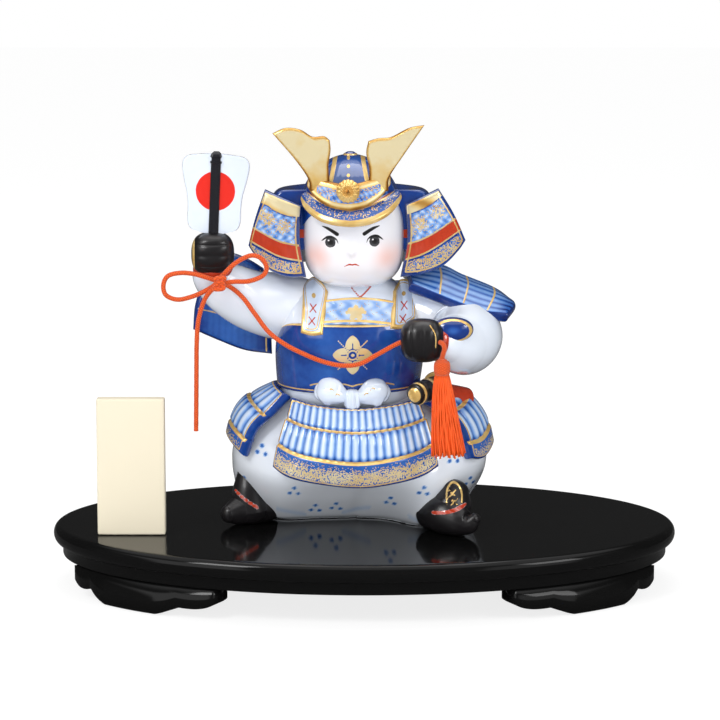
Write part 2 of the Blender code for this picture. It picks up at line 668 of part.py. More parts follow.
def chin_height():
    return WAIST_Z + CHIN_RISE


def bowl_middle():
    return np.array((0.0, 3.0, chin_height() + BOWL_RISE))


def on_helmet(points):
    """Helmet fittings are drawn for a bowl of DRAWN_BOWL; they grow with it about its middle."""
    middle = np.array((0.0, 3.0, BOWL_DRAWN_Z))
    return bowl_middle() + (np.asarray(points, dtype=float) - middle) * (BOWL_RADIUS / DRAWN_BOWL)


def head(name, inset=0.0, sides=32, levels=15):
    half = HEAD_HEIGHT / 2
    return egg(name, (HEAD_X, -1.0, chin_height() + half - CHIN_DROP),
               (HEAD_WIDTH / 2 - inset, HEAD_DEPTH / 2 - inset, half - inset), HEAD_SQUARE, 2.9,
               sides, levels)


def bowl():
    """The helmet bowl: a dome with shallow upright ribs, its foot raised over the face."""
    angle = np.linspace(0.0, 2 * math.pi, 3 * BOWL_RIBS, endpoint=False)
    off_front = np.abs((np.degrees(angle) + 90.0 + 180.0) % 360.0 - 180.0)
    foot = np.interp(off_front, (43.0, 77.0), (3.0, -14.0))
    rings = []
    for share in (0.0, 0.14, 0.3, 0.46, 0.62, 0.76, 0.9):
        tilt = np.radians(foot + (89.0 - foot) * share)
        out = np.where(tilt > 0, np.cos(tilt), 1.0)
        rib = 1.0 + 0.016 * np.abs(np.cos(BOWL_RIBS * angle / 2)) ** 8 * np.clip(out * 1.6 - 0.3, 0.0, 1.0)
        ring = np.stack([out * rib * np.cos(angle) * BOWL_WIDTH,
                         out * rib * np.sin(angle) * BOWL_LENGTH, np.sin(tilt)], axis=1)
        rings.append(bowl_middle() + BOWL_RADIUS * ring)
    return loft("bowl", rings)


def knob():
    """The knob on the crown: a low turned stack."""
    top = bowl_middle() + (0.0, 0.0, BOWL_RADIUS)
    return limb("knob", [(*(top + (0.0, 0.0, rise)), KNOB_RADIUS * wide) for rise, wide in (
        (-4.0, 1.0), (-1.6, 1.0), (-0.8, 0.82), (0.4, 0.7), (1.0, 0.5), (1.4, 0.1))], 16, 6)


def brim():
    """The visor: a curved plate round the front of the bowl that dips in the middle."""
    top = ((-22.4, -13.0, 167.0), (-13.0, -22.0, 166.4), (0.0, -25.0, 166.0), (13.5, -22.0, 166.6),
           (23.4, -13.0, 167.8))
    low = ((-23.4, -17.5, 165.0), (-21.2, -25.0, 160.8), (-14.0, -32.0, 156.3), (-3.0, -35.6, 154.3),
           (8.0, -35.2, 154.9), (17.2, -30.8, 158.2), (22.6, -24.0, 162.6), (24.4, -17.5, 166.0))
    left = (top[0], (-23.0, -16.3, 166.0), low[0])
    right = (top[-1], (24.0, -16.3, 167.0), low[-1])
    grid = four_sided(top, low, left, right, shares(19, 0.03), shares(6, 0.14))
    grid[..., 2] += 1.6 * np.sin(math.pi * shares(6, 0.14))[:, None]
    return plate("brim", on_helmet(grid), BRIM_THICKNESS / 2, BRIM_THICKNESS / 2)


def crest():
    """The crescent plate that stands before the bowl and carries the horns."""
    top = ((-20.2, -25.5, 178.0), (-10.5, -30.0, 176.0), (-0.6, -32.6, 174.5), (9.5, -30.0, 176.5),
           (19.4, -25.5, 179.5))
    low = ((-20.5, -26.0, 173.2), (-18.4, -28.2, 169.2), (-14.3, -31.0, 165.6), (-8.3, -33.2, 162.9),
           (-1.0, -34.0, 161.9), (6.1, -33.2, 162.9), (11.8, -31.2, 165.6), (16.1, -28.8, 169.4),
           (19.0, -26.0, 174.0))
    left = (top[0], (-20.4, -25.7, 175.6), low[0])
    right = (top[-1], (19.3, -25.7, 176.8), low[-1])
    grid = four_sided(top, low, left, right, shares(15, 0.05), shares(6, 0.14))
    return plate("crest", on_helmet(grid), CREST_THICKNESS / 2, CREST_DEPTH)


def horn(name, outer, top, inner):
    """A flat gilt horn between its outer, top and inner edges, leant forwards as it rises."""
    def lean(points):
        return [(x, -30.4 - HORN_LEAN * (z - 182.0), z) for x, z in points]
    low = (outer[0], ((outer[0][0] + inner[-1][0]) / 2, 170.0), inner[-1])
    grid = four_sided(lean(top), lean(low), lean(outer[::-1]), lean(inner), shares(7, 0.12),
                      shares(9, 0.06))
    return plate(name, on_helmet(grid), HORN_THICKNESS / 2, HORN_THICKNESS / 2)


def horns():
    near = horn("near_horn", ((-19.8, 171.0), (-20.4, 177.0), (-26.8, 186.6), (-37.4, 199.2)),
                ((-37.4, 199.2), (-31.1, 201.8), (-24.0, 201.0), (-18.2, 197.6), (-12.6, 197.8),
                 (-9.8, 195.8)),
                ((-9.8, 195.8), (-9.4, 190.8), (-10.4, 182.5), (-9.4, 171.5)))
    far = horn("far_horn", ((18.6, 171.0), (19.2, 178.0), (26.2, 189.0), (35.8, 203.2)),
               ((35.8, 203.2), (28.4, 201.8), (19.9, 197.5), (13.6, 196.8), (8.8, 195.4)),
               ((8.8, 195.4), (7.8, 189.5), (9.2, 181.5), (8.6, 171.5)))
    return near, far


def boss():
    """The round flower boss in the middle of the crest."""
    sides = 32
    angle = np.linspace(0.0, 2 * math.pi, sides, endpoint=False)
    petal = 1.0 + 0.025 * np.cos(16 * angle)
    rings = []
    for deep, size in ((4.0, 1.0), (-0.2, 1.0), (-1.6, 0.8), (-2.4, 0.5), (-2.9, 0.25), (-3.4, 0.1)):
        radius = BOSS_RADIUS * size * petal
        rings.append(np.stack([radius * np.cos(angle), np.full(sides, deep), radius * np.sin(angle)],
                              axis=1))
    return loft("boss", on_helmet(np.asarray(rings) + BOSS_MIDDLE))


def guard_stations():
    """Profile of the neck guard: share of the way down, reach and height."""
    return ((0.0, 20.0, 162.0), (0.08, 26.0, 167.0), (0.16, 32.5, 169.0), (0.24, 37.0, 167.2),
            (0.34, 39.5, 161.5), (0.55, 42.5, 150.0), (0.78, 45.0, 138.0), (1.0, 46.5, 127.0))


def neck_guard():
    """The laced neck guard: a rounded shoulder round the bowl, then lames that lap each other."""
    angle = np.linspace(-math.pi, math.pi, 48, endpoint=False)
    off_front = np.degrees(np.abs(angle))
    opening = np.interp(off_front, GUARD_OPENING, (0.0, 1.0))
    lift = GUARD_LIFT * np.interp(off_front, (85.0, 125.0), (1.0, 0.0))
    lames = [GUARD_NECK + (1 - GUARD_NECK) * (lame + step) / GUARD_LAMES
             for lame in range(GUARD_LAMES) for step in (0.02, 0.98)]
    rings = []
    for down in [0.0, 0.08, 0.16, 0.24] + lames:
        reach, height = row_at(guard_stations(), down)
        lap = LAME_STEP * (max(down - GUARD_NECK, 0.0) / (1 - GUARD_NECK) * GUARD_LAMES % 1.0) ** 1.5
        out = blend(14.0, reach + lap, opening)
        rings.append(np.stack([2.0 * down + out * np.sin(angle) * 1.02, 2.0 - out * np.cos(angle) * 0.98,
                               height + lift * down ** 2], axis=1))
    return loft("neck_guard", on_helmet(rings))


def wing(name, top, low, inner, outer):
    """One turned-back wing of the neck guard."""
    grid = four_sided(top, low, inner, outer, shares(8, 0.1), shares(9, 0.08))
    return plate(name, on_helmet(grid), WING_THICKNESS / 2, WING_BACKING)


def wings():
    near = wing(
        "near_wing",
        ((-23.8, -11.5, 162.0), (-31.4, -11.5, 165.4), (-42.0, -9.0, 169.7)),
        ((-21.8, -11.5, 126.2), (-31.0, -13.0, 126.6), (-39.5, -10.0, 129.6), (-46.6, -7.5, 136.4),
         (-50.2, -6.0, 141.6)),
        ((-23.8, -11.5, 162.0), (-24.8, -12.5, 145.0), (-21.8, -11.5, 126.2)),
        ((-42.0, -9.0, 169.7), (-46.6, -8.0, 156.0), (-50.2, -6.0, 141.6)))
    far = wing(
        "far_wing",
        ((27.0, -11.5, 162.6), (33.2, -11.5, 166.0), (43.4, -9.0, 170.2)),
        ((24.8, -11.5, 126.4), (34.0, -13.0, 127.6), (45.3, -10.0, 131.6), (53.0, -7.5, 138.6),
         (57.0, -6.0, 144.2)),
        ((27.0, -11.5, 162.6), (28.0, -12.5, 145.0), (24.8, -11.5, 126.4)),
        ((43.4, -9.0, 170.2), (50.8, -8.0, 158.0), (57.0, -6.0, 144.2)))
    return near, far


# Boots and sword

def boots():
    """Each boot is an upright leg and a shoe that runs from heel to toe."""
    return (
        limb("near_leg", rounded_ends(((-52.5, -3.0, 25.0, 5.0), (-51.5, -4.5, 17.0, 8.4),
                                       (-50.0, -5.5, 7.0, 9.6))), 14, 7),
        limb("near_shoe", rounded_ends(((-37.0, 2.0, 6.5, 6.2), (-43.0, -1.5, 8.0, 8.4),
                                        (-51.0, -5.5, 8.0, 8.4), (-57.5, -9.5, 6.6, 6.9),
                                        (-61.5, -12.5, 6.0, 4.6))), 14, 10),
        limb("far_leg", rounded_ends(((51.4, -21.5, 19.5, 8.0), (50.4, -24.0, 14.0, 10.2),
                                      (48.8, -25.5, 8.0, 10.6))), 14, 7),
        limb("far_shoe", rounded_ends(((40.0, -19.0, 8.0, 8.0), (46.5, -26.0, 9.4, 10.0),
                                       (53.0, -32.0, 7.6, 8.0), (58.5, -35.6, 6.8, 5.4),
                                       (61.6, -37.2, 9.6, 3.0))), 14, 10),
    )


def sword():
    """Grip with its wraps, round guard and the mouth of the scabbard, thrust through the sash."""
    grip_end = np.array((32.6, -44.0, WAIST_Z + 3.8))
    guard = np.array((42.5, -29.5, WAIST_Z + 4.6))
    side = np.array((43.5, -12.0, WAIST_Z - 2.4))
    tip = np.array((56.5, 1.0, WAIST_Z - 7.5))
    rows = [(*blend(grip_end, guard, share), 5.4) for share in np.linspace(0.03, 1.0, 7)]
    grip = limb("sword_grip", rounded_ends(rows), 14, 12)
    rows = [(*blend(grip_end, guard, share), radius) for share, radius in (
        (0.88, 5.4), (0.9, 6.8), (0.95, 7.4), (1.05, 7.4), (1.1, 6.8), (1.12, 5.4))]
    disc = limb("sword_guard", rows, 20, 8)
    scabbard = limb("scabbard", rounded_ends(((*guard, 5.6), (*side, 6.4), (*tip, 6.2))), 14, 10)
    return grip, disc, scabbard


def tilt_of_fan():
    """The fan's frame: upright, leant sideways about the raised fist's middle."""
    move = Matrix.Translation(Vector(RAISED_FIST) * MM)
    return move @ Matrix.Rotation(math.radians(FAN_LEAN), 4, "Y")


def box_mesh(name, size, middle):
    """A box from the cube primitive, sized and moved in millimetres."""
    shape = bmesh.new()
    bmesh.ops.create_cube(shape, size=1.0)
    scale = Matrix.Diagonal((*(Vector(size) * MM), 1.0))
    bmesh.ops.transform(shape, matrix=Matrix.Translation(Vector(middle) * MM) @ scale,
                        verts=shape.verts)
    mesh = bpy.data.meshes.new(name)
    shape.to_mesh(mesh)
    shape.free()
    return mesh


def boolean(target, name, operation, source):
    """Add one Boolean to a part, from an object or from a whole collection of helpers."""
    joint = target.modifiers.new(name, "BOOLEAN")
    joint.operation = operation
    joint.solver = "MANIFOLD"
    if isinstance(source, bpy.types.Collection):
        joint.operand_type = "COLLECTION"
        joint.collection = source
    else:
        joint.object = source
    return joint


def tidy_seams(target):
    """Merge the sliver faces that a Boolean leaves along its seams."""
    weld = target.modifiers.new("weld_seams", "WELD")
    weld.merge_threshold = 0.05 * MM
    dissolve = target.modifiers.new("dissolve_slivers", "DECIMATE")
    dissolve.decimate_type = "DISSOLVE"
    dissolve.angle_limit = math.radians(SEAM_ANGLE)


def figure_forms():
    """Every form of the casting with its glaze, apart from the trousers."""
    white, blue, pale, bright, dark = porcelain(), cobalt(), pale_blue(), gold(), black_glaze()
    near_horn, far_horn = horns()
    near_skirt, far_skirt = side_skirts()
    near_shield, far_shield = shields()
    grip, disc, scabbard = sword()
    near_wing, far_wing = wings()
    near_strap, far_strap = straps()
    knot_y = chest_front(BOW_X, 0.0) - 3.8
    forms = [
        (chest("chest"), white), (breastplate(), blue),
        (sash(), white), (near_strap, pale), (far_strap, pale), (chest_band(), pale),
        (bow_lobe("near_bow", -1), white), (bow_lobe("far_bow", 1), white),
        (egg("bow_knot", (BOW_X, knot_y, WAIST_Z - 1.6), (4.4, 4.4, 5.2), 2.2, 2.8, 16, 9), white),
        (front_skirt(), pale), (back_skirt(), pale), (near_skirt, blue), (far_skirt, blue),
        (raised_sleeve(), white), (lower_sleeve(), white), (near_shield, blue), (far_shield, blue),
        (arm_guard(), blue), (cuff("near_cuff", RAISED_FIST, (0.0, 0.28, -1.0), 9.6), white),
        (cuff("far_cuff", LOWER_FIST, (1.0, 0.5, -0.15), 9.2), white),
        (fist("near_fist", RAISED_FIST), dark), (fist("far_fist", LOWER_FIST, True), dark),
        (head("head"), white), (bowl(), blue), (knob(), blue), (brim(), pale), (crest(), bright),
        (near_horn, bright), (far_horn, bright), (boss(), bright), (neck_guard(), blue),
        (near_wing, blue), (far_wing, blue),
        (grip, dark), (disc, bright), (scabbard, dark),
    ]
    return forms + [(boot, dark) for boot in boots()]


def rod(name, start, end, radius, sides=16):
    """A straight round rod between two points, for the round holes."""
    return limb(name, ((*start, radius), (*blend(np.array(start), np.array(end), 0.5), radius),
                       (*end, radius)), sides, 3)


def figure_cutters():
    """The floor's cut, the pouring hollow and its vent, and the holes in both fists."""
    x, y, z = LOWER_FIST
    hole = CORD_DIAMETER / 2 + 1.5 * GAP
    inner, outer = (np.array(point) for point in CORD_ROUTE[:2])
    way = (outer - inner) / np.linalg.norm(outer - inner)
    neck = (HEAD_X / 2, 1.0, WAIST_Z + CHEST_RISE - 2 * WALL)
    head_middle = (HEAD_X, 1.0, chin_height() + HEAD_HEIGHT / 2)
    return [
        box_mesh("floor_cut", (FLOOR_CUT, FLOOR_CUT, FLOOR_CUT / 4), (0.0, 0.0, -FLOOR_CUT / 8)),
        trousers("trouser_hollow", WALL, 8, 28), chest("chest_hollow", WALL, 7, 24),
        head("head_hollow", WALL, 20, 10),
        rod("neck_hollow", neck, head_middle, HEAD_WIDTH / 5),
        rod("vent", (0.0, VENT_Y, -WALL), (0.0, VENT_Y, 4 * WALL), VENT_RADIUS),
        rod("cord_hole", inner - 2 * GAP * way, outer + 3.0 * way, hole),
        rod("strand_hole", (x + FIST_RADIUS + 3.0, y - 12.0, z + 0.2), (x + 4.6, y - 4.0, z + 0.2), hole),
    ]


def make_figure(doll):
    """The casting: trousers joined with every other form, then hollowed and cut."""
    figure = place("figure", trousers("trousers"), porcelain(), doll)
    for mesh, finish in figure_forms():
        place(mesh.name, mesh, finish, doll, "figure_forms")
    boolean(figure, "join_forms", "UNION", collection("figure_forms"))
    for mesh in figure_cutters():
        place(mesh.name, mesh, porcelain(), doll, "figure_cutters")
    wide, deep = shaft_section(GAP)
    socket = box_mesh("fan_socket", (wide, deep, 2 * FIST_RADIUS),
                      (0.0, 0.0, FIST_RADIUS - SHAFT_BELOW - GAP))
    place("fan_socket", socket, porcelain(), doll, "figure_cutters").matrix_local = tilt_of_fan()
    boolean(figure, "cut_hollows", "DIFFERENCE", collection("figure_cutters"))
    tidy_seams(figure)
    return figure


def shaft_section(extra):
    return SHAFT_WIDTH + 2 * extra, SHAFT_DEPTH + 2 * extra


def make_fan(doll):
    """The fan: a blade with waisted sides in the slot of a flat black shaft."""
    foot = FAN_LIFT
    top = FAN_LIFT + FAN_HEIGHT
    shares = ((0.0, 0.55), (0.04, 0.86), (0.14, 0.99), (0.34, 1.0), (0.5, 1.05))
    side = [(FAN_HALF_WAIST * wide, foot + FAN_HEIGHT * share) for share, wide in shares]
    side += [(FAN_HALF_TOP * wide, foot + FAN_HEIGHT * share) for share, wide in (
        (0.66, 0.93), (0.84, 1.0), (0.93, 0.97), (0.985, 0.84), (1.0, 0.6))]
    side = through(side, 26)
    outline = np.concatenate([side, (side * (-1.0, 1.0))[::-1]])
    flat = np.stack([outline[:, 0], np.zeros(len(outline)), outline[:, 1]], axis=1)
    half = FAN_THICKNESS / 2
    shrink = np.array((0.97, 1.0, 1.0))
    rings = [flat * shrink + (0, -half, 0), flat + (0, -half * 0.5, 0), flat + (0, half * 0.5, 0),
             flat * shrink + (0, half, 0)]
    blade = place("fan_blade", loft("fan_blade", rings), porcelain(), doll)
    blade.matrix_local = tilt_of_fan()

    wide, deep = shaft_section(0.0)
    length = SHAFT_BELOW + top + SHAFT_ABOVE
    shaft = place("fan_shaft", box_mesh("fan_shaft", (wide, deep, length),
                                        (0.0, 0.0, length / 2 - SHAFT_BELOW)), black_glaze(), doll)
    shaft.matrix_local = tilt_of_fan()
    slot = place("fan_slot", box_mesh("fan_slot", (wide * 2, FAN_THICKNESS + 2 * GAP,
                                                   FAN_HEIGHT + 2 * GAP),
                                      (0.0, 0.0, foot + FAN_HEIGHT / 2)), black_glaze(), doll,
                 "fan_cutters")
    slot.matrix_local = tilt_of_fan()
    round_edges = shaft.modifiers.new("round_edges", "BEVEL")
    round_edges.width = SHAFT_ROUND * MM
    round_edges.segments = 2
    boolean(shaft, "blade_slot", "DIFFERENCE", slot)
    return blade, shaft


def tube(name, points, diameter, finish, parent):
    """A cord as a round tube on a poly curve with filled caps."""
    curve = bpy.data.curves.new(name, "CURVE")
    curve.dimensions = "3D"
    curve.bevel_depth = diameter / 2 * MM
    curve.bevel_resolution = 2
    curve.use_fill_caps = True
    spline = curve.splines.new("POLY")
    spline.points.add(len(points) - 1)
    for knot, point in zip(spline.points, points):
        knot.co = (*(Vector(point) * MM), 1.0)
    curve.materials.append(finish)
    made = bpy.data.objects.new(name, curve)
    collection("samurai_doll").objects.link(made)
    made.parent = parent
    return made


def cord_points():
    """Points along the cord, a few diameters apart, on a smooth curve through its route."""
    fine = through(CORD_ROUTE, 600)
    steps = np.linalg.norm(np.diff(fine, axis=0), axis=1)
    run = np.concatenate([[0.0], np.cumsum(steps)])
    count = int(round(run[-1] / CORD_STEP)) + 1
    at = np.linspace(0.0, run[-1], count)
    return np.stack([np.interp(at, run, fine[:, axis]) for axis in range(3)], axis=1)


def make_tassel(doll):
    """The tassel: a strand out of the lower fist, a bound head, and a skirt of folded threads."""
    x, y, z = LOWER_FIST
    top = np.array((x + 9.3, y - 8.4, z - 8.0))
    strand = limb("tassel_head", (
        (x + 6.4, y - 5.6, z + 0.2, 1.2), (x + 9.2, y - 8.6, z + 0.1, 1.2),
        (x + 10.4, y - 9.6, z - 2.2, 1.2), (x + 9.7, y - 8.9, z - 5.4, 1.2),
        (*(top + (0.0, 0.0, 0.6)), 1.5), (*(top - (0.0, 0.0, 1.0)), TASSEL_HEAD_RADIUS),
        (*(top - (0.0, 0.0, TASSEL_HEAD_HEIGHT / 2)), TASSEL_HEAD_RADIUS * 1.06),
        (*(top - (0.0, 0.0, TASSEL_HEAD_HEIGHT)), TASSEL_HEAD_RADIUS * 0.9),
    ), 10, 20)
    place("tassel_head", strand, cord_red(), doll)
    sides = 3 * TASSEL_FOLDS
    angle = np.linspace(0.0, 2 * math.pi, sides, endpoint=False)
    start = top - (0.0, 0.0, TASSEL_HEAD_HEIGHT + 2 * GAP)
    rings = []
    for share in np.linspace(0.0, 1.0, 5):
        radius = blend(TASSEL_HEAD_RADIUS, TASSEL_SPREAD, share ** 0.8)
        folds = 1.0 + 0.06 * share * np.cos(TASSEL_FOLDS * angle)
        sway = TASSEL_SWAY * share ** 1.3
        rings.append(start + np.stack([
            sway + radius * folds * np.cos(angle), 0.62 * radius * folds * np.sin(angle),
            np.full(sides, -TASSEL_LENGTH * share)], axis=1))
    place("tassel_skirt", loft("tassel_skirt", rings), cord_red(), doll)


def make_cord(doll):
    """The cord's tube and the wrap that holds its bow."""
    tube("cord", cord_points(), CORD_DIAMETER, cord_red(), doll)
    x, y, z = RAISED_FIST
    wrap = egg("cord_knot", (x + 4.2, y - 18.2, z - 12.2), (KNOT_RADIUS, 1.5, KNOT_RADIUS), 2.2, 2.2,
               12, 6)
    place("cord_knot", wrap, cord_red(), doll)


def make_stand():
    """The oval board: a flat top, a bullnose rim, and a narrower band below it."""
    profile = [(FOOT_HEIGHT, BAND_INSET + 3.0), (FOOT_HEIGHT, BAND_INSET),
               (FOOT_HEIGHT + BAND_HEIGHT, BAND_INSET)]
    low = FOOT_HEIGHT + BAND_HEIGHT
    for share in np.linspace(0.0, 1.0, 6):
        turn = math.pi * (share - 0.5)
        inset = RIM_ROUND * (1 - math.cos(turn))
        profile.append((low + RIM_HEIGHT * (1 + math.sin(turn)) / 2, inset))
    rings = []
    for height, inset in profile:
        half_x, half_y = STAND_WIDTH / 2 - inset, STAND_DEPTH / 2 - inset
        rings.append(oval_ring(-half_x, half_x, -half_y, half_y, height, 2.0, STAND_SIDES))
    return place("stand_top", loft("stand_top", rings), lacquer())


def foot_depth(share):
    """How far down the cloud outline of a foot reaches: three lobes, the middle one on the floor."""
    depth = 0.0
    for middle, half, deep in ((0.1, 0.13, 10.5), (0.5, 0.34, FOOT_HEIGHT + 1.2), (0.86, 0.17, 10.5)):
        off = min(abs(share - middle) / half, 1.0)
        depth = max(depth, deep * (1 - off ** 2.4) ** (1 / 2.4))
    return min(max(depth, 2.0), FOOT_HEIGHT)


def make_foot(name, side, end):
    """A cloud foot that follows the rim: side is -1 or 1 across, end is -1 front or 1 back."""
    half_x, half_y = STAND_WIDTH / 2 - BAND_INSET, STAND_DEPTH / 2 - BAND_INSET
    start, stop = math.acos(FOOT_OUTER_SHARE), math.acos(FOOT_INNER_SHARE)
    rows = []
    for share in np.linspace(0.0, 1.0, FOOT_STEPS):
        turn = blend(start, stop, share)
        outer = np.array((half_x * math.cos(turn), half_y * math.sin(turn)))
        inner = np.array(((half_x - FOOT_THICKNESS) * math.cos(turn),
                          (half_y - FOOT_THICKNESS) * math.sin(turn)))
        low = FOOT_HEIGHT - foot_depth(share)
        high = FOOT_HEIGHT - GAP
        rows.append([(side * x, end * y, z) for (x, y), z in (
            (outer, high), (outer, low + 0.8), (blend(outer, inner, 0.08), low),
            (blend(outer, inner, 0.92), low), (inner, low + 0.8), (inner, high))])
    return place(name, loft(name, rows), lacquer())


def make_plaque():
    """The name board: a small bevelled plank that leans back and is cut level at its foot."""
    stand_top = FOOT_HEIGHT + BAND_HEIGHT + RIM_HEIGHT
    lean = math.radians(PLAQUE_LEAN)
    deep = PLAQUE_THICKNESS / math.cos(lean)
    half = PLAQUE_WIDTH / 2
    rings = []
    for up, inset in ((0.0, 0.0), (PLAQUE_HEIGHT - PLAQUE_BEVEL, 0.0), (PLAQUE_HEIGHT, PLAQUE_BEVEL)):
        shift = up * math.tan(lean)
        x = half - inset
        near, far = shift + inset, shift + deep - inset
        cut = PLAQUE_BEVEL
        rings.append([(-x + cut, near, up), (x - cut, near, up), (x, near + cut, up), (x, far - cut, up),
                      (x - cut, far, up), (-x + cut, far, up), (-x, far - cut, up), (-x, near + cut, up)])
    made = place("plaque", loft("plaque", rings), material("pale_wood", (0.78, 0.71, 0.55), 0.55))
    made.location = Vector((PLAQUE_X, PLAQUE_Y, stand_top + GAP)) * MM
    return made


def clear_scene():
    for old in list(bpy.data.objects):
        bpy.data.objects.remove(old)


def main():
    clear_scene()
    make_stand()
    for side, across in ((-1, "left"), (1, "right")):
        make_foot("foot_front_" + across, side, -1)
        make_foot("foot_back_" + across, side, 1)
    make_plaque()
    doll = bpy.data.objects.new("doll", None)
    collection("samurai_doll").objects.link(doll)
    doll.location = Vector((DOLL_X, DOLL_Y, FOOT_HEIGHT + BAND_HEIGHT + RIM_HEIGHT + GAP)) * MM
    make_figure(doll)
    make_fan(doll)
    make_cord(doll)
    make_tassel(doll)


main()
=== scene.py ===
"""Looks of the samurai doll: a painted porcelain boy warrior on an oval lacquered stand.

Every form is a surface worked out on a grid in the doll's own millimetres, +X to its left hand,
-Y to its front and +Z up, measured from the middle of its base. Painting is kept on the points as
ink fields: the distance in millimetres inside a brushed shape, positive inside, so a painted edge
stays crisp between the points.
"""

import math

import bpy
import numpy as np
from bpy.props import FloatProperty, FloatVectorProperty, PointerProperty
from bpy.types import Operator, Panel, PropertyGroup
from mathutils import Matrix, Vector


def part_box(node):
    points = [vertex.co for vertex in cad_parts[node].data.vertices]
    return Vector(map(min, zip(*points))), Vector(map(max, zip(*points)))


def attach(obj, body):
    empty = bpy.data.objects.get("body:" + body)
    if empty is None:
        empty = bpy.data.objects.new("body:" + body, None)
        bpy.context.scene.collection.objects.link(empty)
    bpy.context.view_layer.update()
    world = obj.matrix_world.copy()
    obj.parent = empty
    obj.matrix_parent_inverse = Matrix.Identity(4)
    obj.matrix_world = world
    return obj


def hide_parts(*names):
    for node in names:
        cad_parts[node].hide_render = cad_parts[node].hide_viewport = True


bl_info = {
    "name": "Samurai doll",
    "version": (1, 0, 0),
    "blender": (4, 5, 0),
    "location": "3D View > Sidebar > Samurai doll",
    "description": "Builds the painted porcelain doll, its fan, cord, tassel, name board and stand",
    "category": "Add Mesh",
}

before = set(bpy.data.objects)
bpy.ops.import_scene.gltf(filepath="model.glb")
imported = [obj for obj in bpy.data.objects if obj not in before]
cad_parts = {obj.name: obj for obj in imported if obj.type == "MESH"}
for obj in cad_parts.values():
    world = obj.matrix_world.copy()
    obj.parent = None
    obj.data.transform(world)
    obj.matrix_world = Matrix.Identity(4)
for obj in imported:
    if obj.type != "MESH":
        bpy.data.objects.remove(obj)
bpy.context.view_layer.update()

MM = 0.001
STAND_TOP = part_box("stand_top")[1][2] / MM
DOLL_AT = np.array((-7.0, 0.0, STAND_TOP + 0.3))

# Thickness of each plate, and how far in its edge is rounded
PLATES = {
    "visor": (3.4, 1.7), "crest": (4.2, 2.0), "horn": (3.0, 1.4), "wing": (6.0, 2.8),
    "strap": (2.8, 1.3), "band": (2.0, 0.9), "shield": (6.0, 2.8), "fan": (2.2, 0.8),
}

# Body heights, as in the casting
WAIST = 70.0
SHOULDER = WAIST + 37.0
CHIN = WAIST + 51.5
BOWL_Z = CHIN + 35.0
RAISED_FIST = np.array((-68.0, -12.0, 138.0))
LOWER_FIST = np.array((35.0, -44.0, 100.0))
FIST_RADIUS = 10.6
FAR = -9.0                      # ink value of a place with no paint
FULL = 3.0                      # ink value of a place painted all over
FRONT = -math.pi / 2            # angle of the doll's front, from +X

SIDES = ("left", "right")
FIELDS = ("cobalt", "gold", "red", "black", "grey", "speckle", "blush", "bright", "tone")

# The cord's middle line, from the lower fist to the end of its tail
CORD_ROUTE = (
    (27.6, -46.2, 100.4), (22.2, -44.5, 98.1), (13.1, -41.9, 92.6), (4.6, -39.5, 87.6),
    (-4.0, -37.0, 86.4), (-12.7, -34.5, 87.7), (-21.3, -32.0, 90.6), (-31.5, -29.1, 95.2),
    (-40.1, -26.7, 101.4), (-47.0, -24.6, 110.2), (-52.6, -23.1, 117.6), (-58.2, -22.0, 122.4),
    (-64.4, -21.6, 125.4), (-69.9, -22.0, 127.4), (-76.7, -22.4, 129.4), (-83.3, -22.8, 130.0),
    (-89.4, -23.0, 128.5), (-91.7, -23.2, 124.1), (-90.5, -23.4, 119.1), (-84.8, -23.6, 116.9),
    (-77.7, -23.8, 118.4), (-71.3, -24.0, 121.2), (-66.6, -24.2, 124.2), (-62.8, -24.4, 128.7),
    (-55.9, -24.8, 135.3), (-48.5, -25.2, 138.9), (-43.1, -25.6, 137.2), (-40.9, -26.0, 132.5),
    (-43.4, -26.4, 128.7), (-50.0, -26.7, 126.4), (-57.3, -27.0, 126.2), (-63.9, -27.0, 124.8),
    (-68.9, -26.6, 120.9), (-72.2, -26.0, 115.3), (-74.8, -25.4, 105.5), (-75.6, -25.0, 94.5),
    (-75.8, -25.0, 85.0), (-76.1, -25.0, 67.9), (-76.4, -25.0, 51.3),
)


# Curves and grids

def smooth_through(points, shares):
    """Catmull-Rom curve through given points, read at shares 0 to 1 of its spans."""
    table = np.asarray(points, dtype=float)
    table = np.vstack([2 * table[0] - table[1], table, 2 * table[-1] - table[-2]])
    spans = len(table) - 3
    at = np.clip(np.asarray(shares, dtype=float), 0.0, 1.0) * spans
    span = np.minimum(at.astype(int), spans - 1)
    t = (at - span)[:, None]
    a, b, c, d = (table[span + step] for step in range(4))
    return 0.5 * (2 * b + (c - a) * t + (2 * a - 5 * b + 4 * c - d) * t ** 2
                  + (3 * b - a - 3 * c + d) * t ** 3)


def evenly_along(points, shares):
    """The same curve, read at shares of its length."""
    fine = smooth_through(points, even(24 * len(points)))
    run = np.concatenate([[0.0], np.cumsum(np.linalg.norm(np.diff(fine, axis=0), axis=1))])
    at = np.asarray(shares) * run[-1]
    return np.stack([np.interp(at, run, fine[:, k]) for k in range(fine.shape[1])], axis=1)


def close_at_ends(count):
    """Shares 0 to 1 that crowd towards both ends: s less nine tenths of a full sine wave."""
    s = even(count)
    return s - 0.88 * np.sin(2 * math.pi * s) / (2 * math.pi)


def four_sided(top, low, left, right, columns, rows):
    """Coons patch: the two rulings between facing edges, added, less the bilinear corners."""
    u, v = close_at_ends(columns), close_at_ends(rows)
    a, b = evenly_along(top, u), evenly_along(low, u)
    c, d = evenly_along(left, v), evenly_along(right, v)
    u, v = u[None, :, None], v[:, None, None]
    ruled = (1 - v) * a[None] + v * b[None] + (1 - u) * c[:, None] + u * d[:, None]
    corners = (1 - u) * (1 - v) * a[0] + u * (1 - v) * a[-1] + (1 - u) * v * b[0] + u * v * b[-1]
    return ruled - corners


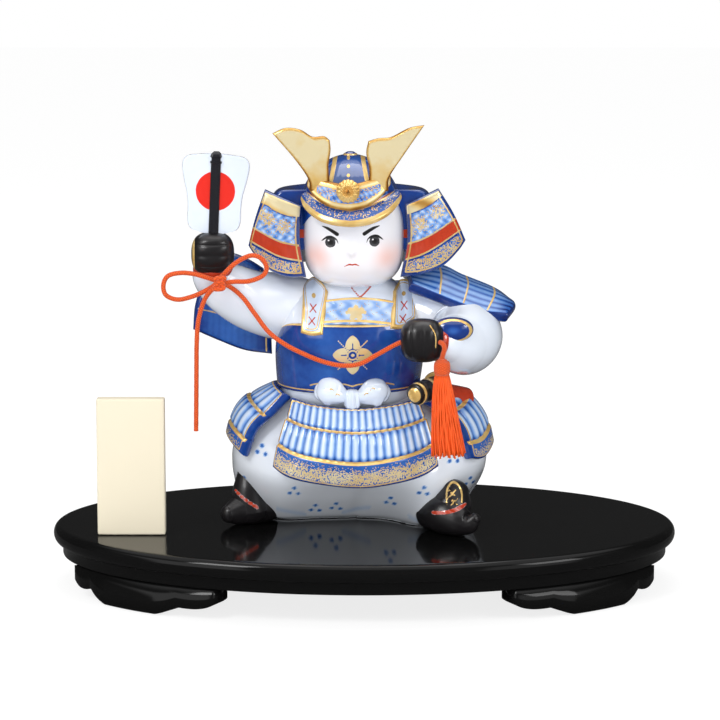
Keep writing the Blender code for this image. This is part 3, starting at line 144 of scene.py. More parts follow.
def panel(top, low, left, right, columns, rows):
    """Coons patch whose side edges run through middle points and meet its head and foot edges."""
    return four_sided(top, low, (top[0], *left, low[0]), (top[-1], *right, low[-1]), columns, rows)


def bulged(grid, push):
    """A grid pushed out by a parabola across times half a sine wave down."""
    rows, columns = grid.shape[:2]
    u, v = close_at_ends(columns)[None, :, None], close_at_ends(rows)[:, None, None]
    return grid + (1 - (2 * u - 1) ** 2) * np.sin(math.pi * v) * np.array(push)


def turns(columns, start=0.0):
    """Even angles once round, from a starting angle."""
    return np.linspace(0.0, 2 * math.pi, columns, endpoint=False) + start


def normals_of(grid):
    """Unit normals of a grid: the cross product of its two gradients."""
    across, along = np.gradient(grid, axis=1), np.gradient(grid, axis=0)
    normal = np.cross(along, across)
    return normal / np.maximum(np.linalg.norm(normal, axis=-1, keepdims=True), 1e-9)


def edge_distance(grid):
    """Soft distance in millimetres from each point to the grid's nearest edge."""
    def run(axis):
        """Distance from each point to the first edge and to the last one, along an axis."""
        steps = np.linalg.norm(np.diff(grid, axis=axis), axis=-1)
        total = np.cumsum(steps, axis=axis)
        start = np.zeros_like(np.take(total, [0], axis=axis))
        reach = np.concatenate([start, total], axis=axis)
        return reach, np.take(reach, [-1], axis=axis) - reach
    sides = np.stack([*run(0), *run(1)])
    return np.sum(np.maximum(sides, 1e-4) ** -5.0, axis=0) ** -0.2


def off_front(angle):
    """How far an angle lies from the front, 0 to pi on either side."""
    return np.abs((angle - FRONT + math.pi) % (2 * math.pi) - math.pi)


def even(count):
    """Even shares from 0 to 1."""
    return np.linspace(0.0, 1.0, count)


def ease(low, high, value):
    """Share of a value between two levels, 0 to 1, eased: three squares less two cubes."""
    t = np.clip((value - low) / (high - low), 0.0, 1.0)
    return t * t * (3 - 2 * t)


def rows_through(table, shares, key):
    """Columns of a table read at a key column, on a smooth curve through its rows."""
    fine = smooth_through(table, even(400))
    return [np.interp(shares, fine[:, key], fine[:, k]) for k in range(fine.shape[1])]


def oval(left, right, front, back, square, angle):
    """Superellipse of four reaches: x and y at each angle, 0 at +X, -90 degrees at the front."""
    c, s = np.cos(angle), np.sin(angle)
    swell = (np.abs(c) ** square + np.abs(s) ** square) ** (-1.0 / square)
    x = (left + right) / 2 + (right - left) / 2 * c * swell
    y = (front + back) / 2 + (back - front) / 2 * s * swell
    return x, y


# Meshes

class Form:
    """Points, faces, corner UVs and painting of one piece, with its places u and v on its grid.

    A plate also has the distance from its edge, and its side: 1 in front and -1 behind.
    """
    x = property(lambda form: form.points[:, 0], doc="Places across")
    y = property(lambda form: form.points[:, 1], doc="Places from front to back")
    z = property(lambda form: form.points[:, 2], doc="Heights")

    def __init__(self, points, faces, uv, u=None, v=None, edge=None, side=None):
        self.points, self.faces, self.uv = points, faces, uv
        self.u, self.v, self.edge, self.side = u, v, edge, side
        self.fields = {}


def wrapped(grid):
    """A closed form from a grid whose columns run round it; each end closes on a pole."""
    rows, columns = grid.shape[:2]
    points = np.vstack([grid.reshape(-1, 3), grid[0].mean(axis=0), grid[-1].mean(axis=0)])
    row, column = np.meshgrid(np.arange(rows - 1), np.arange(columns), indexing="ij")
    after = (column + 1) % columns
    quads = np.stack([row * columns + column, row * columns + after,
                      (row + 1) * columns + after, (row + 1) * columns + column], axis=-1)
    quad_uv = np.stack([np.stack([(column + du) / columns, (row + dv) / (rows - 1)], axis=-1)
                        for du, dv in ((0, 0), (1, 0), (1, 1), (0, 1))], axis=2)
    faces = quads.reshape(-1, 4).tolist()
    uv = quad_uv.reshape(-1, 2)
    ring = np.arange(columns)
    following = (ring + 1) % columns
    for start, hub, v in ((0, rows * columns, 0.0), ((rows - 1) * columns, rows * columns + 1, 1.0)):
        faces += np.stack([np.full(columns, hub), start + ring, start + following], axis=1).tolist()
        fan = np.stack([np.stack([(ring + du) / columns, np.full(columns, v)], axis=-1)
                        for du in (0.5, 0, 1)], axis=1)
        uv = np.vstack([uv, fan.reshape(-1, 2)])
    u = np.append(np.tile(np.arange(columns) / columns, rows), (0.0, 0.0))
    v = np.append(np.repeat(np.arange(rows) / (rows - 1), columns), (0.0, 1.0))
    return Form(points, faces, uv, u=u, v=v)


def plate(grid, thickness, rim, relief=0.0):
    """A closed plate: a grid thickened both ways, its edge rounded as a quarter ellipse."""
    rows, columns = grid.shape[:2]
    edge = edge_distance(grid)
    normal = normals_of(grid)
    round_off = np.sqrt(1 - (1 - np.clip(edge / rim, 0.0, 1.0)) ** 2)
    half = (thickness / 2 * round_off)[..., None]
    front = grid + normal * (half + (relief * round_off)[..., None])
    back = grid - normal * half
    count = rows * columns
    near = np.arange(count).reshape(rows, columns)
    far = near.copy()
    far[1:-1, 1:-1] = count + np.arange((rows - 2) * (columns - 2)).reshape(rows - 2, columns - 2)
    front[0], front[-1], front[:, 0], front[:, -1] = grid[0], grid[-1], grid[:, 0], grid[:, -1]
    points = np.vstack([front.reshape(-1, 3), back[1:-1, 1:-1].reshape(-1, 3)])
    u, v = close_at_ends(columns), close_at_ends(rows)
    faces, uv = [], []
    for index, order in ((near, (0, 1, 2, 3)), (far, (3, 2, 1, 0))):
        corners = (index[:-1, :-1], index[:-1, 1:], index[1:, 1:], index[1:, :-1])
        spots = [np.stack(np.meshgrid(a, b), axis=-1) for a, b in (
            (u[:-1], v[:-1]), (u[1:], v[:-1]), (u[1:], v[1:]), (u[:-1], v[1:]))]
        faces += np.stack([corners[k] for k in order], axis=-1).reshape(-1, 4).tolist()
        uv.append(np.stack([spots[k] for k in order], axis=2).reshape(-1, 2))
    flat_u = np.broadcast_to(u[None, :], (rows, columns))
    flat_v = np.broadcast_to(v[:, None], (rows, columns))

    def both(values):
        """Values of the front points, then those of the back's inner points."""
        return np.concatenate([values.ravel(), values[1:-1, 1:-1].ravel()])
    side = np.concatenate([np.ones(count), -np.ones((rows - 2) * (columns - 2))])
    return Form(points, faces, np.vstack(uv), u=both(flat_u), v=both(flat_v), edge=both(edge),
                side=side)


def sweep(stations, rows, columns, squash=1.0, shape=None):
    """A round sweep: circles of the stations' radii, set square to a smooth path, unturned."""
    table = smooth_through(stations, even(rows))
    path, radius = table[:, :3], np.maximum(table[:, 3], 0.05)
    heading = np.gradient(path, axis=0)
    heading /= np.linalg.norm(heading, axis=1, keepdims=True)
    side = np.cross(heading[0], np.eye(3)[np.argmin(np.abs(heading[0]))])
    sides = []
    for way in heading:
        side = side - way * np.dot(side, way)
        side = side / np.linalg.norm(side)
        sides.append(side)
    sides = np.array(sides)
    rises = np.cross(heading, sides)
    angle = turns(columns)[None, :, None]
    swell = radius[:, None, None]
    if shape is not None:
        swell = swell * shape(even(rows)[:, None], angle[0, :, 0][None, :])[..., None]
    return path[:, None] + swell * (sides[:, None] * np.cos(angle)
                                    + squash * rises[:, None] * np.sin(angle))


def rounded_ends(stations):
    """Stations with each end rounded off: six rings that shrink as a quarter circle."""
    rows = [np.asarray(row, dtype=float) for row in stations]
    out = []
    for end, inner in ((rows[0], rows[1]), (rows[-1], rows[-2])):
        way = (end - inner)[:3]
        way = way / np.linalg.norm(way)
        cap = [np.append(end[:3] + way * end[3] * math.sin(t) * 0.8, end[3] * max(math.cos(t), 0.03))
               for t in np.linspace(math.pi / 2, math.pi / 12, 6)]
        out.append(cap)
    return out[0] + rows + out[1][::-1]


def turned(profile, middle):
    """A turned form: a smooth profile of radius and height, run round an upright axis."""
    radius, height = evenly_along(profile, even(60)).T[:, :, None]
    angle = turns(64)[None, :]
    return np.stack([radius * np.cos(angle), radius * np.sin(angle), height + 0 * angle], axis=-1) + middle


def blob(middle, radii, square, rise_square, rows, columns, dense_front=0.0):
    """A superellipsoid; dense_front crowds its columns towards the front."""
    tilt = np.linspace(-math.pi / 2, math.pi / 2, rows + 2)[1:-1][:, None]
    angle = turns(columns)[None, :]
    angle = angle - dense_front * np.sin(angle) - math.pi / 2
    c, s = np.abs(np.cos(tilt)), np.abs(np.sin(tilt))
    swell = (c ** rise_square + s ** rise_square) ** (-1.0 / rise_square)
    x, y = oval(-1.0, 1.0, -1.0, 1.0, square, angle)
    grid = np.stack([c * swell * x, c * swell * y, np.sin(tilt) * swell + 0 * x], axis=-1)
    return grid * np.asarray(radii) + np.asarray(middle)


def outward(points, faces):
    """True if the faces of a closed form point out: its signed volume is above zero."""
    volume = 0.0
    for size in (3, 4):
        ring = np.array([face for face in faces if len(face) == size])
        if len(ring) == 0:
            continue
        for k in range(1, size - 1):
            a, b, c = points[ring[:, 0]], points[ring[:, k]], points[ring[:, k + 1]]
            volume += np.einsum("ij,ij->i", a, np.cross(b, c)).sum()
    return volume > 0


def build(name, form, finish, replaced="figure", slot="porcelain", local=True, sharp=None):
    """Turn a form into a piece that rides on the doll's one body."""
    points = (form.points + DOLL_AT if local else form.points) * MM
    centred = form.points - form.points.mean(axis=0)
    faces = form.faces
    corner = np.arange(sum(len(face) for face in faces))
    if not outward(centred, faces):
        starts = np.cumsum([0] + [len(face) for face in faces])
        corner = np.concatenate([corner[a:b][::-1] for a, b in zip(starts[:-1], starts[1:])])
        faces = [face[::-1] for face in faces]
    mesh = bpy.data.meshes.new(name)
    mesh.from_pydata(points.tolist(), [], faces)
    layer = mesh.uv_layers.new(name="surface")
    layer.data.foreach_set("uv", form.uv[corner].astype(np.float32).ravel())
    for field, values in form.fields.items():
        spread = np.broadcast_to(np.asarray(values, dtype=np.float32), (len(points),))
        made = mesh.attributes.new(field, "FLOAT", "POINT")
        made.data.foreach_set("value", np.ascontiguousarray(spread))
    mesh.shade_smooth()
    if sharp is not None:
        mesh.set_sharp_from_angle(angle=math.radians(sharp))
    mesh.materials.append(finish)
    piece = bpy.data.objects.new(name, mesh)
    bpy.context.scene.collection.objects.link(piece)
    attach(piece, "root")
    if replaced:
        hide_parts(replaced)
    return piece


def painted(name, form, paint=None, **options):
    """A glazed piece: its painting is a function of the form that gives some of the ink fields."""
    inks = dict.fromkeys(FIELDS, FAR)
    inks.update(cobalt=0.0, speckle=0.0, blush=0.0, bright=0.0, tone=0.42)
    if paint is not None:
        inks.update(paint(form))
    form.fields = inks
    return build(name, form, glaze(), **options)


# Painting

def stroke(x, z, points, width):
    """Ink of a brush stroke along a smooth line; width is one number or one for each point."""
    share = even(40)
    line = smooth_through(points, share)
    widths = np.broadcast_to(np.asarray(width, dtype=float), (len(points),))
    half = np.interp(share, even(len(points)), widths) / 2
    best = np.full(np.shape(x), FAR)
    for a, b, r, s in zip(line[:-1], line[1:], half[:-1], half[1:]):
        way = b - a
        t = np.clip(((x - a[0]) * way[0] + (z - a[1]) * way[1]) / max(way @ way, 1e-9), 0.0, 1.0)
        away = np.hypot(x - a[0] - t * way[0], z - a[1] - t * way[1])
        best = np.maximum(best, r + (s - r) * t - away)
    return best


def disc(x, z, middle, radius):
    """Ink of a disc: its radius less the distance from its middle."""
    return radius - np.hypot(x - middle[0], z - middle[1])


def band(value, low, high):
    """Ink between two levels."""
    return np.minimum(value - low, high - value)


def curve_at(x, points):
    """Height of a smooth painted line at each x, from its given points."""
    line = smooth_through(points, even(60))
    order = np.argsort(line[:, 0])
    return np.interp(x, line[order, 0], line[order, 1])


def flower(x, z, middle, radius, petals):
    """Ink of a flower: a disc whose radius shrinks by about a third between the petals."""
    dx, dz = x - middle[0], z - middle[1]
    angle = np.arctan2(dz, dx)
    reach = radius * (1 - 0.35 * (0.5 - 0.5 * np.cos(petals * angle)) ** 1.5)
    return reach - np.hypot(dx, dz)


def all_of(*inks):
    """Ink where all shapes overlap: the smallest of their inks."""
    return np.minimum.reduce(np.broadcast_arrays(*inks))


def any_of(*inks):
    """Ink of shapes laid together: the largest of their inks."""
    return np.maximum.reduce(np.broadcast_arrays(*inks))


# Shader nodes

# Colours between and beyond those of the settings
PALE_BLUE = (0.52, 0.66, 0.88)
MIDDLE_BLUE = (0.19, 0.36, 0.72)
DEEP_BLUE = (0.008, 0.045, 0.25)
INK_BLUE = (0.004, 0.014, 0.10)
PALE_GOLD = (1.0, 0.86, 0.53)
AMBER = (0.52, 0.24, 0.035)
DEEP_AMBER = (0.22, 0.085, 0.012)
ROSE = (0.90, 0.42, 0.32, 1.0)
SOFT_BLACK = (0.055, 0.055, 0.06, 1.0)
DEEP_RED = (0.36, 0.026, 0.010, 1.0)
BRIGHT_RED = (0.76, 0.022, 0.012, 1.0)


class Tree:
    """Short calls that add nodes to one node tree."""

    def __init__(self, tree):
        self.tree = tree

    def node(self, kind, inputs=None, **settings):
        """Add a shader node; an input that is a socket is linked, and a value is set."""
        made = self.tree.nodes.new("ShaderNode" + kind)
        for key, value in settings.items():
            setattr(made, key, value)
        for key, value in (inputs or {}).items():
            self.give(made.inputs[key], value)
        return made

    def give(self, socket, value):
        """Link a socket to another one, or set its value."""
        if isinstance(value, bpy.types.NodeSocket):
            self.tree.links.new(value, socket)
        else:
            socket.default_value = value

    def math(self, operation, a, b=0.0, clamp=False):
        """One sum on two numbers."""
        return self.node("Math", {0: a, 1: b}, operation=operation, use_clamp=clamp).outputs[0]

    def plus(self, a, b, clamp=False):
        """The sum of two numbers."""
        return self.math("ADD", a, b, clamp)

    def times(self, a, b, clamp=False):
        """The product of two numbers."""
        return self.math("MULTIPLY", a, b, clamp)

    def swing(self, value, reach):
        """A number 0 to 1, made one that swings round 0 by half of its reach."""
        return self.times(self.math("SUBTRACT", value, 0.5), reach)

    def bump(self, height, strength, distance):
        """Normals of a bump of that height."""
        return self.node("Bump", {"Height": height, "Strength": strength, "Distance": distance}).outputs[0]

    def mix(self, mask, a, b):
        """Colour a where the mask is 0 and b where it is 1."""
        return self.node("Mix", {0: mask, 6: a, 7: b}, data_type="RGBA").outputs[2]

    def blend(self, mask, a, b):
        """Number a where the mask is 0 and b where it is 1."""
        return self.node("Mix", {0: mask, 2: a, 3: b}, data_type="FLOAT").outputs[0]

    def field(self, name):
        """One painting field of the mesh."""
        return self.node("Attribute", attribute_name=name).outputs["Fac"]

    def noise(self, scale, detail=3.0, stretch=None):
        """Fractal noise of the piece's own coordinates, stretched where asked."""
        place = self.node("TexCoord").outputs["Object"]
        if stretch:
            place = self.node("Mapping", {"Vector": place, "Scale": stretch}).outputs[0]
        return self.node("TexNoise", {"Vector": place, "Scale": scale, "Detail": detail}).outputs[0]

    def ramp(self, value, stops):
        """Colour read from a table of places 0 to 1 and their colours."""
        made = self.node("ValToRGB", {0: value})
        ramp = made.color_ramp
        while len(ramp.elements) < len(stops):
            ramp.elements.new(1.0)
        for element, (place, colour) in zip(ramp.elements, stops):
            element.position = place
            element.color = (*colour, 1.0)
        return made.outputs[0]


def group(name, inputs, output, kind, fill):
    """A shader node group, built once: numbers in, one output, and nodes that fill draws between."""
    made = bpy.data.node_groups.get(name)
    if made is None:
        made = bpy.data.node_groups.new(name, "ShaderNodeTree")
        for label, value in inputs.items():
            socket = made.interface.new_socket(label, in_out="INPUT", socket_type="NodeSocketFloat")
            socket.default_value = value
        made.interface.new_socket(output, in_out="OUTPUT", socket_type=kind)
        source, sink = (made.nodes.new(f"NodeGroup{end}") for end in ("Input", "Output"))
        made.links.new(fill(Tree(made), source.outputs), sink.inputs[output])
    return made


def place_group(tree, made, inputs):
    """Place a group; each named input gets its link or its value."""
    return tree.node("Group", inputs, node_tree=made).outputs


def brush_edge():
    """Mask of a painted shape: its ink, wavered by a fine noise, over a soft edge."""
    def fill(tree, given):
        ink = tree.plus(given["Ink"], tree.swing(tree.noise(900.0, 2.0), given["Waver"]))
        return tree.plus(tree.math("DIVIDE", ink, given["Softness"]), 0.5, clamp=True)
    return group("brush_edge", {"Ink": FAR, "Waver": 0.25, "Softness": 0.16}, "Mask", "NodeSocketFloat", fill)


def cobalt_wash():
    """Colour of underglaze cobalt by its strength, with the streaks and pools of a brush."""
    def fill(tree, given):
        sway = tree.plus(tree.swing(tree.noise(260.0, 4.0), 0.14), tree.swing(tree.noise(60.0, 3.0), 0.24))
        # A bare place stays clean, so the sway grows with the strength of the wash.
        reach = tree.times(given["Strength"], 3.0, clamp=True)
        strength = tree.plus(given["Strength"], tree.times(sway, reach), clamp=True)
        colours = bpy.context.scene.doll_colours
        return tree.ramp(strength, (
            (0.0, tuple(colours.porcelain)), (0.16, PALE_BLUE), (0.36, MIDDLE_BLUE),
            (0.62, tuple(colours.cobalt)), (0.82, DEEP_BLUE), (1.0, INK_BLUE)))
    return group("cobalt_wash", {"Strength": 0.0}, "Color", "NodeSocketColor", fill)


def gold_dust():
    """Mask of scattered gold specks: cells whose own grey lies below the density asked for."""
    def fill(tree, given):
        place = tree.node("TexCoord").outputs["Object"]
        fine = tree.node("TexVoronoi", {"Vector": place, "Scale": 1500.0})
        size = tree.plus(0.40, tree.times(given["Density"], 0.16))
        near = tree.math("LESS_THAN", fine.outputs["Distance"], size)
        grey = tree.node("SeparateColor", {0: fine.outputs["Color"]}).outputs[0]
        clumps = tree.times(tree.noise(300.0, 3.0), 1.9)
        chosen = tree.math("LESS_THAN", grey, tree.times(given["Density"], clumps))
        return tree.times(near, chosen)
    return group("gold_dust", {"Density": 0.0}, "Mask", "NodeSocketFloat", fill)


def new_material(name):
    """A material, its tree and its Principled shader; both are None where it is there already."""
    made = bpy.data.materials.get(name)
    if made is not None:
        return made, None, None
    made = bpy.data.materials.new(name)
    made.use_nodes = True
    return made, Tree(made.node_tree), made.node_tree.nodes["Principled BSDF"]


def connect(tree, shader, **sockets):
    """Link or set the shader's sockets, named with underscores for spaces."""
    for label, value in sockets.items():
        tree.give(shader.inputs[label.replace("_", " ")], value)


def glaze():
    """Painted porcelain: cobalt under the glaze, then iron red, black and grey, and gold lustre."""
    made, tree, shader = new_material("painted_porcelain")
    if tree is None:
        return made
    colours = bpy.context.scene.doll_colours

    def mask(field):
        """Brushed mask of one painting field."""
        return place_group(tree, brush_edge(), {"Ink": tree.field(field)})["Mask"]
    base = place_group(tree, cobalt_wash(), {"Strength": tree.field("cobalt")})["Color"]
    base = tree.mix(tree.field("blush"), base, ROSE)
    base = tree.mix(mask("grey"), base, SOFT_BLACK)
    red, black = mask("red"), mask("black")
    brush = tree.times(tree.noise(500.0, 3.0, stretch=(1.0, 1.0, 0.4)), 0.9)
    enamel = tree.mix(brush, (*colours.iron_red, 1.0), DEEP_RED)
    base = tree.mix(red, base, tree.mix(tree.field("bright"), enamel, BRIGHT_RED))
    base = tree.mix(black, base, (*colours.black_glaze, 1.0))
    dust = place_group(tree, gold_dust(), {"Density": tree.field("speckle")})["Mask"]
    gold = tree.math("MAXIMUM", mask("gold"), dust)
    # The tone field deepens the gold; on the horns and the crest's rounded edge it carries painted shade.
    depth = tree.plus(tree.field("tone"), tree.swing(tree.noise(110.0, 3.0), 0.9), clamp=True)
    lustre = tree.ramp(depth, ((0.0, PALE_GOLD), (0.40, tuple(colours.gold)), (0.78, AMBER),
                               (1.0, DEEP_AMBER)))
    rough = tree.blend(gold, tree.blend(black, 0.10, 0.30), tree.blend(tree.noise(700.0, 2.0), 0.14, 0.26))
    rise = tree.plus(tree.times(gold, 0.5), tree.times(red, 0.25))
    height = tree.plus(rise, tree.times(tree.noise(55.0, 2.0), 0.8))
    connect(tree, shader, Base_Color=tree.mix(gold, base, lustre), Roughness=rough,
            Normal=tree.bump(height, 0.35, 0.0004), Metallic=tree.times(gold, 0.45),
            Specular_IOR_Level=0.5, Coat_Roughness=0.03,
            Coat_Weight=tree.math("SUBTRACT", 1.0, tree.math("MAXIMUM", gold, black), clamp=True))
    return made


def plain(name, colour, roughness, coat=0.0, scale=300.0, shift=0.15):
    """A finish of one colour that drifts a little, with a fine bump."""
    made, tree, shader = new_material(name)
    if tree is not None:
        drift = tree.times(tree.noise(scale * 0.2, 3.0), shift)
        shade = tuple(channel * 0.55 for channel in colour)
        connect(tree, shader, Base_Color=tree.mix(drift, (*colour, 1.0), (*shade, 1.0)),
                Roughness=tree.blend(tree.noise(scale * 0.5, 2.0), roughness * 0.8, roughness * 1.2),
                Normal=tree.bump(tree.noise(scale, 4.0), 0.1, 0.0003), Coat_Weight=coat,
                Coat_Roughness=0.04)
    return made


def lacquer():
    """Black lacquer: a mirror coat with faint dust and rubbing marks."""
    made, tree, shader = new_material("black_lacquer")
    if tree is not None:
        dust = tree.math("GREATER_THAN", tree.noise(1500.0, 3.0), 0.74)
        marks = tree.noise(90.0, 5.0, stretch=(0.3, 1.6, 1.0))
        black = (*bpy.context.scene.doll_colours.lacquer, 1.0)
        connect(tree, shader, Base_Color=tree.mix(tree.times(dust, 0.25), black, (0.08, 0.08, 0.08, 1.0)),
                Roughness=tree.blend(marks, 0.06, 0.14), Specular_IOR_Level=0.14, Coat_Weight=0.14,
                Coat_Roughness=0.03)
    return made


def pale_wood():
    """Cream wood: long grain lines and soft pores along the height of the board."""
    made, tree, shader = new_material("pale_wood")
    if tree is not None:
        grain = tree.noise(240.0, 5.0, stretch=(1.0, 1.0, 0.06))
        lines = tree.math("POWER", grain, 2.0)
        connect(tree, shader, Normal=tree.bump(grain, 0.25, 0.0002),
                Base_Color=tree.mix(tree.times(lines, 1.1), (0.83, 0.75, 0.57, 1.0), (0.60, 0.48, 0.30, 1.0)),
                Roughness=tree.blend(lines, 0.42, 0.6))
    return made


def braided(name, across, along):
    """Silk cord: two crossing sets of strands in a braid, worked out on the UV map; the grooves between the
    strands are painted darker as shade.
    """
    made, tree, shader = new_material(name)
    if tree is not None:
        colours = bpy.context.scene.doll_colours
        uv = tree.node("SeparateXYZ", {0: tree.node("UVMap").outputs[0]})
        u, v = tree.times(uv.outputs[0], across), tree.times(uv.outputs[1], along)
        height = tree.times(*(
            tree.math("ABSOLUTE", tree.math("SINE", tree.times(tree.math(lean, u, v), math.pi)))
            for lean in ("ADD", "SUBTRACT")))
        fuzz = tree.times(tree.noise(4000.0, 2.0), 0.4)
        # Painted shade: the colour darkens to half its value in the grooves between the strands.
        shade = tree.times(tree.plus(height, fuzz), 0.8, clamp=True)
        dark = tuple(channel * 0.5 for channel in colours.cord)
        connect(tree, shader, Base_Color=tree.mix(shade, (*dark, 1.0), (*colours.cord, 1.0)),
                Roughness=0.62, Sheen_Weight=0.25, Sheen_Roughness=0.4,
                Normal=tree.bump(height, 0.8, 0.0003))
    return made


# Head and helmet

HEAD_MIDDLE = (1.7, -1.0, CHIN + 24.2)
NOSE = (0.8, 140.6)
EYES = ((-9.7, 145.4), (11.9, 146.0))


def bells(x, z, *table):
    """A sum of bells, height times e to the minus squared distance over the squared radius."""
    return sum(height * np.exp(-((x - middle[0]) ** 2 + (z - middle[1]) ** 2) / radius ** 2)
               for height, middle, radius in table)


def head_form():
    """Superellipsoid with a small nose and full cheeks pushed out of its front."""
    form = wrapped(blob(HEAD_MIDDLE, (25.5, 27.0, 25.2), 2.3, 2.9, rows=180, columns=280, dense_front=0.72))
    push = bells(form.x, form.z, (1.5, NOSE, 2.0), (0.7, (NOSE[0], NOSE[1] + 4.0), 2.6),
                 (0.9, (-12.0, 133.0), 8.0), (0.9, (14.5, 133.0), 8.0), (-0.5, EYES[0], 4.5),
                 (-0.5, EYES[1], 4.5), (0.35, (1.0, 133.2), 2.6))
    form.points[:, 1] -= push * ease(-8.0, -20.0, form.y)
    return form


def face_paint(form):
    """Face: discs for the eyes, each with a painted highlight left white, tapered strokes for lashes, brows
    and mouth, bells of blush.
    """
    x, z = form.x, form.z
    front = form.y < -6.0
    black, grey, white = [], [], []
    for (ex, ez), way in zip(EYES, (-1, 1)):
        grey.append(disc(x, z, (ex, ez), 2.5))
        black.append(disc(x, z, (ex + 0.15, ez), 1.35))
        # Painted highlight: a small white spot kept bare of grey and black in each eye.
        white.append(disc(x, z, (ex - 0.8, ez + 0.9), 0.42))
        black.append(0.18 - np.abs(np.hypot(x - ex, z - ez) - 2.4))
        lash = [(ex + way * dx, ez + dz) for dx, dz in (
            (-3.9, -0.4), (-2.9, 1.6), (-0.8, 2.8), (1.4, 2.7), (3.3, 1.4), (4.4, 0.5))]
        black.append(stroke(x, z, lash, (0.25, 0.7, 0.95, 1.0, 0.8, 0.3)))
    black.append(stroke(x, z, ((-13.6, 153.2), (-10.5, 152.0), (-6.4, 149.6)), (0.5, 1.5, 1.9)))
    black.append(stroke(x, z, ((14.3, 153.6), (11.1, 152.4), (6.9, 149.9)), (0.5, 1.5, 1.9)))
    painted_eye_highlight = any_of(*white)
    mouth = stroke(x, z, ((-2.8, 133.7), (-0.6, 134.7), (1.0, 134.6), (2.6, 134.8), (4.8, 133.9)),
                   (0.3, 0.8, 0.7, 0.8, 0.3))
    blush = 0.06 + bells(x, z, (0.52, (-16.3, 138.0), 6.4), (0.52, (18.2, 137.7), 6.4),
                         (0.06, (1.0, 131.0), 9.0))
    return {
        "black": np.where(front, all_of(any_of(*black), -painted_eye_highlight), FAR),
        "grey": np.where(front, all_of(any_of(*grey), -painted_eye_highlight), FAR),
        "red": np.where(front, mouth, FAR), "blush": np.where(form.y < -2.0, blush, 0.0),
    }


BOWL_MIDDLE = np.array((0.0, 3.0, BOWL_Z))
BOWL_REACH = (25.5, 30.0, 29.6)
BOWL_RIBS = 16


def bowl_form():
    """Dome with shallow upright ribs; its foot rises over the face and hangs lower behind."""
    rows, columns = 90, 320
    angle = turns(columns, FRONT)
    foot = -14.0 + 17.0 * ease(1.35, 0.75, off_front(angle))
    share = even(rows)[:, None]
    tilt = np.radians(foot[None, :] + (89.0 - foot[None, :]) * share)
    out = np.where(tilt > 0, np.cos(tilt), 1.0)
    rib = 1.0 + 0.016 * np.abs(np.cos(BOWL_RIBS * angle / 2)) ** 8 * np.clip(out * 1.6 - 0.3, 0.0, 1.0)
    x, y = oval(-1.0, 1.0, -1.0, 1.0, 2.0, angle)
    grid = np.stack([out * rib * x, out * rib * y, np.sin(tilt) + 0 * x], axis=-1)
    return wrapped(grid * np.array(BOWL_REACH) + BOWL_MIDDLE)


def bowl_paint(form):
    """Deep wash that pales on the ribs; two gold strips and three rivets run down the front."""
    x, y, z = form.x, form.y, form.z
    rib = np.abs(np.cos(BOWL_RIBS * np.arctan2(y - BOWL_MIDDLE[1], x) / 2)) ** 8
    front = y < BOWL_MIDDLE[1]
    centre = -0.6
    reach = 8.6 - 0.2 * (z - 176.0)
    strip = 1.05 - np.abs(np.abs(x - centre) - reach)
    rivets = any_of(*(disc(x, z, (-0.9, spot), 0.8) for spot in (177.5, 181.5, 185.0)))
    gold = np.where(front & (z > 168.0), any_of(strip, rivets), FAR)
    middle = ease(1.0, -1.0, np.abs(x - centre) - reach) * front
    return {"gold": gold, "cobalt": 0.86 - 0.32 * rib * (1 - middle) - 0.1 * middle}


def knob_form():
    """Knob turned from a stepped profile on top of the bowl."""
    top = BOWL_Z + BOWL_REACH[2]
    profile = ((0.01, 1.4), (1.6, 1.2), (2.6, 0.6), (3.4, 0.2), (3.7, -0.8), (4.4, -1.2), (4.6, -2.6),
               (4.2, -4.0), (0.01, -4.2))
    return wrapped(turned(profile, (0.0, 3.0, top)))


def brim_grid():
    """Visor: a Coons patch from the brow to its low front edge, arched by half a sine wave."""
    top = ((-22.4, -13.0, 167.0), (-13.0, -22.0, 166.4), (0.0, -25.0, 166.0), (13.5, -22.0, 166.6),
           (23.4, -13.0, 167.8))
    low = ((-23.4, -17.5, 165.0), (-21.2, -25.0, 160.8), (-14.0, -32.0, 156.3), (-3.0, -35.6, 154.3),
           (8.0, -35.2, 154.9), (17.2, -30.8, 158.2), (22.6, -24.0, 162.6), (24.4, -17.5, 166.0))
    grid = panel(top, low, [(-23.0, -16.3, 166.0)], [(24.0, -16.3, 167.0)], 220, 60)
    grid[..., 2] += 1.6 * np.sin(math.pi * close_at_ends(60)[:, None])
    return grid


def brim_paint(form):
    """Bands by the distance up from the low edge: gold, dusted dark, red line, scrolled wash."""
    x, z, v = form.x, form.z, form.v
    down = (1 - v) * (6.0 + 6.0 * np.clip(1 - np.abs(x) / 24.0, 0.0, 1.0))
    gold = any_of(1.5 - down, 0.3 - np.abs(down - 4.7), 0.4 - np.abs(down - 9.8))
    red = band(down, 5.0, 5.9)
    scroll = np.sin(x * 1.15 + 2.2 * np.sin(down * 0.9)) * np.cos(down * 1.3)
    dark = ease(4.9, 4.5, down)
    cobalt = np.clip(0.26 + 0.22 * scroll, 0.05, 0.9) * (1 - dark) + 0.72 * dark
    return {"gold": np.where(form.side > 0, gold, FAR), "red": red, "cobalt": cobalt,
            "speckle": 0.45 * dark * ease(1.4, 2.0, down)}


def crest_grid():
    """Crest plate: a Coons patch between a shallow head edge and a crescent foot edge."""
    top = ((-20.2, -25.5, 178.0), (-10.5, -30.0, 176.0), (-0.6, -32.6, 174.5), (9.5, -30.0, 176.5),
           (19.4, -25.5, 179.5))
    low = ((-20.5, -26.0, 173.2), (-18.4, -28.2, 169.2), (-14.3, -31.0, 165.6), (-8.3, -33.2, 162.9),
           (-1.0, -34.0, 161.9), (6.1, -33.2, 162.9), (11.8, -31.2, 165.6), (16.1, -28.8, 169.4),
           (19.0, -26.0, 174.0))
    return panel(top, low, [(-20.4, -25.7, 175.6)], [(19.3, -25.7, 176.8)], 200, 70)


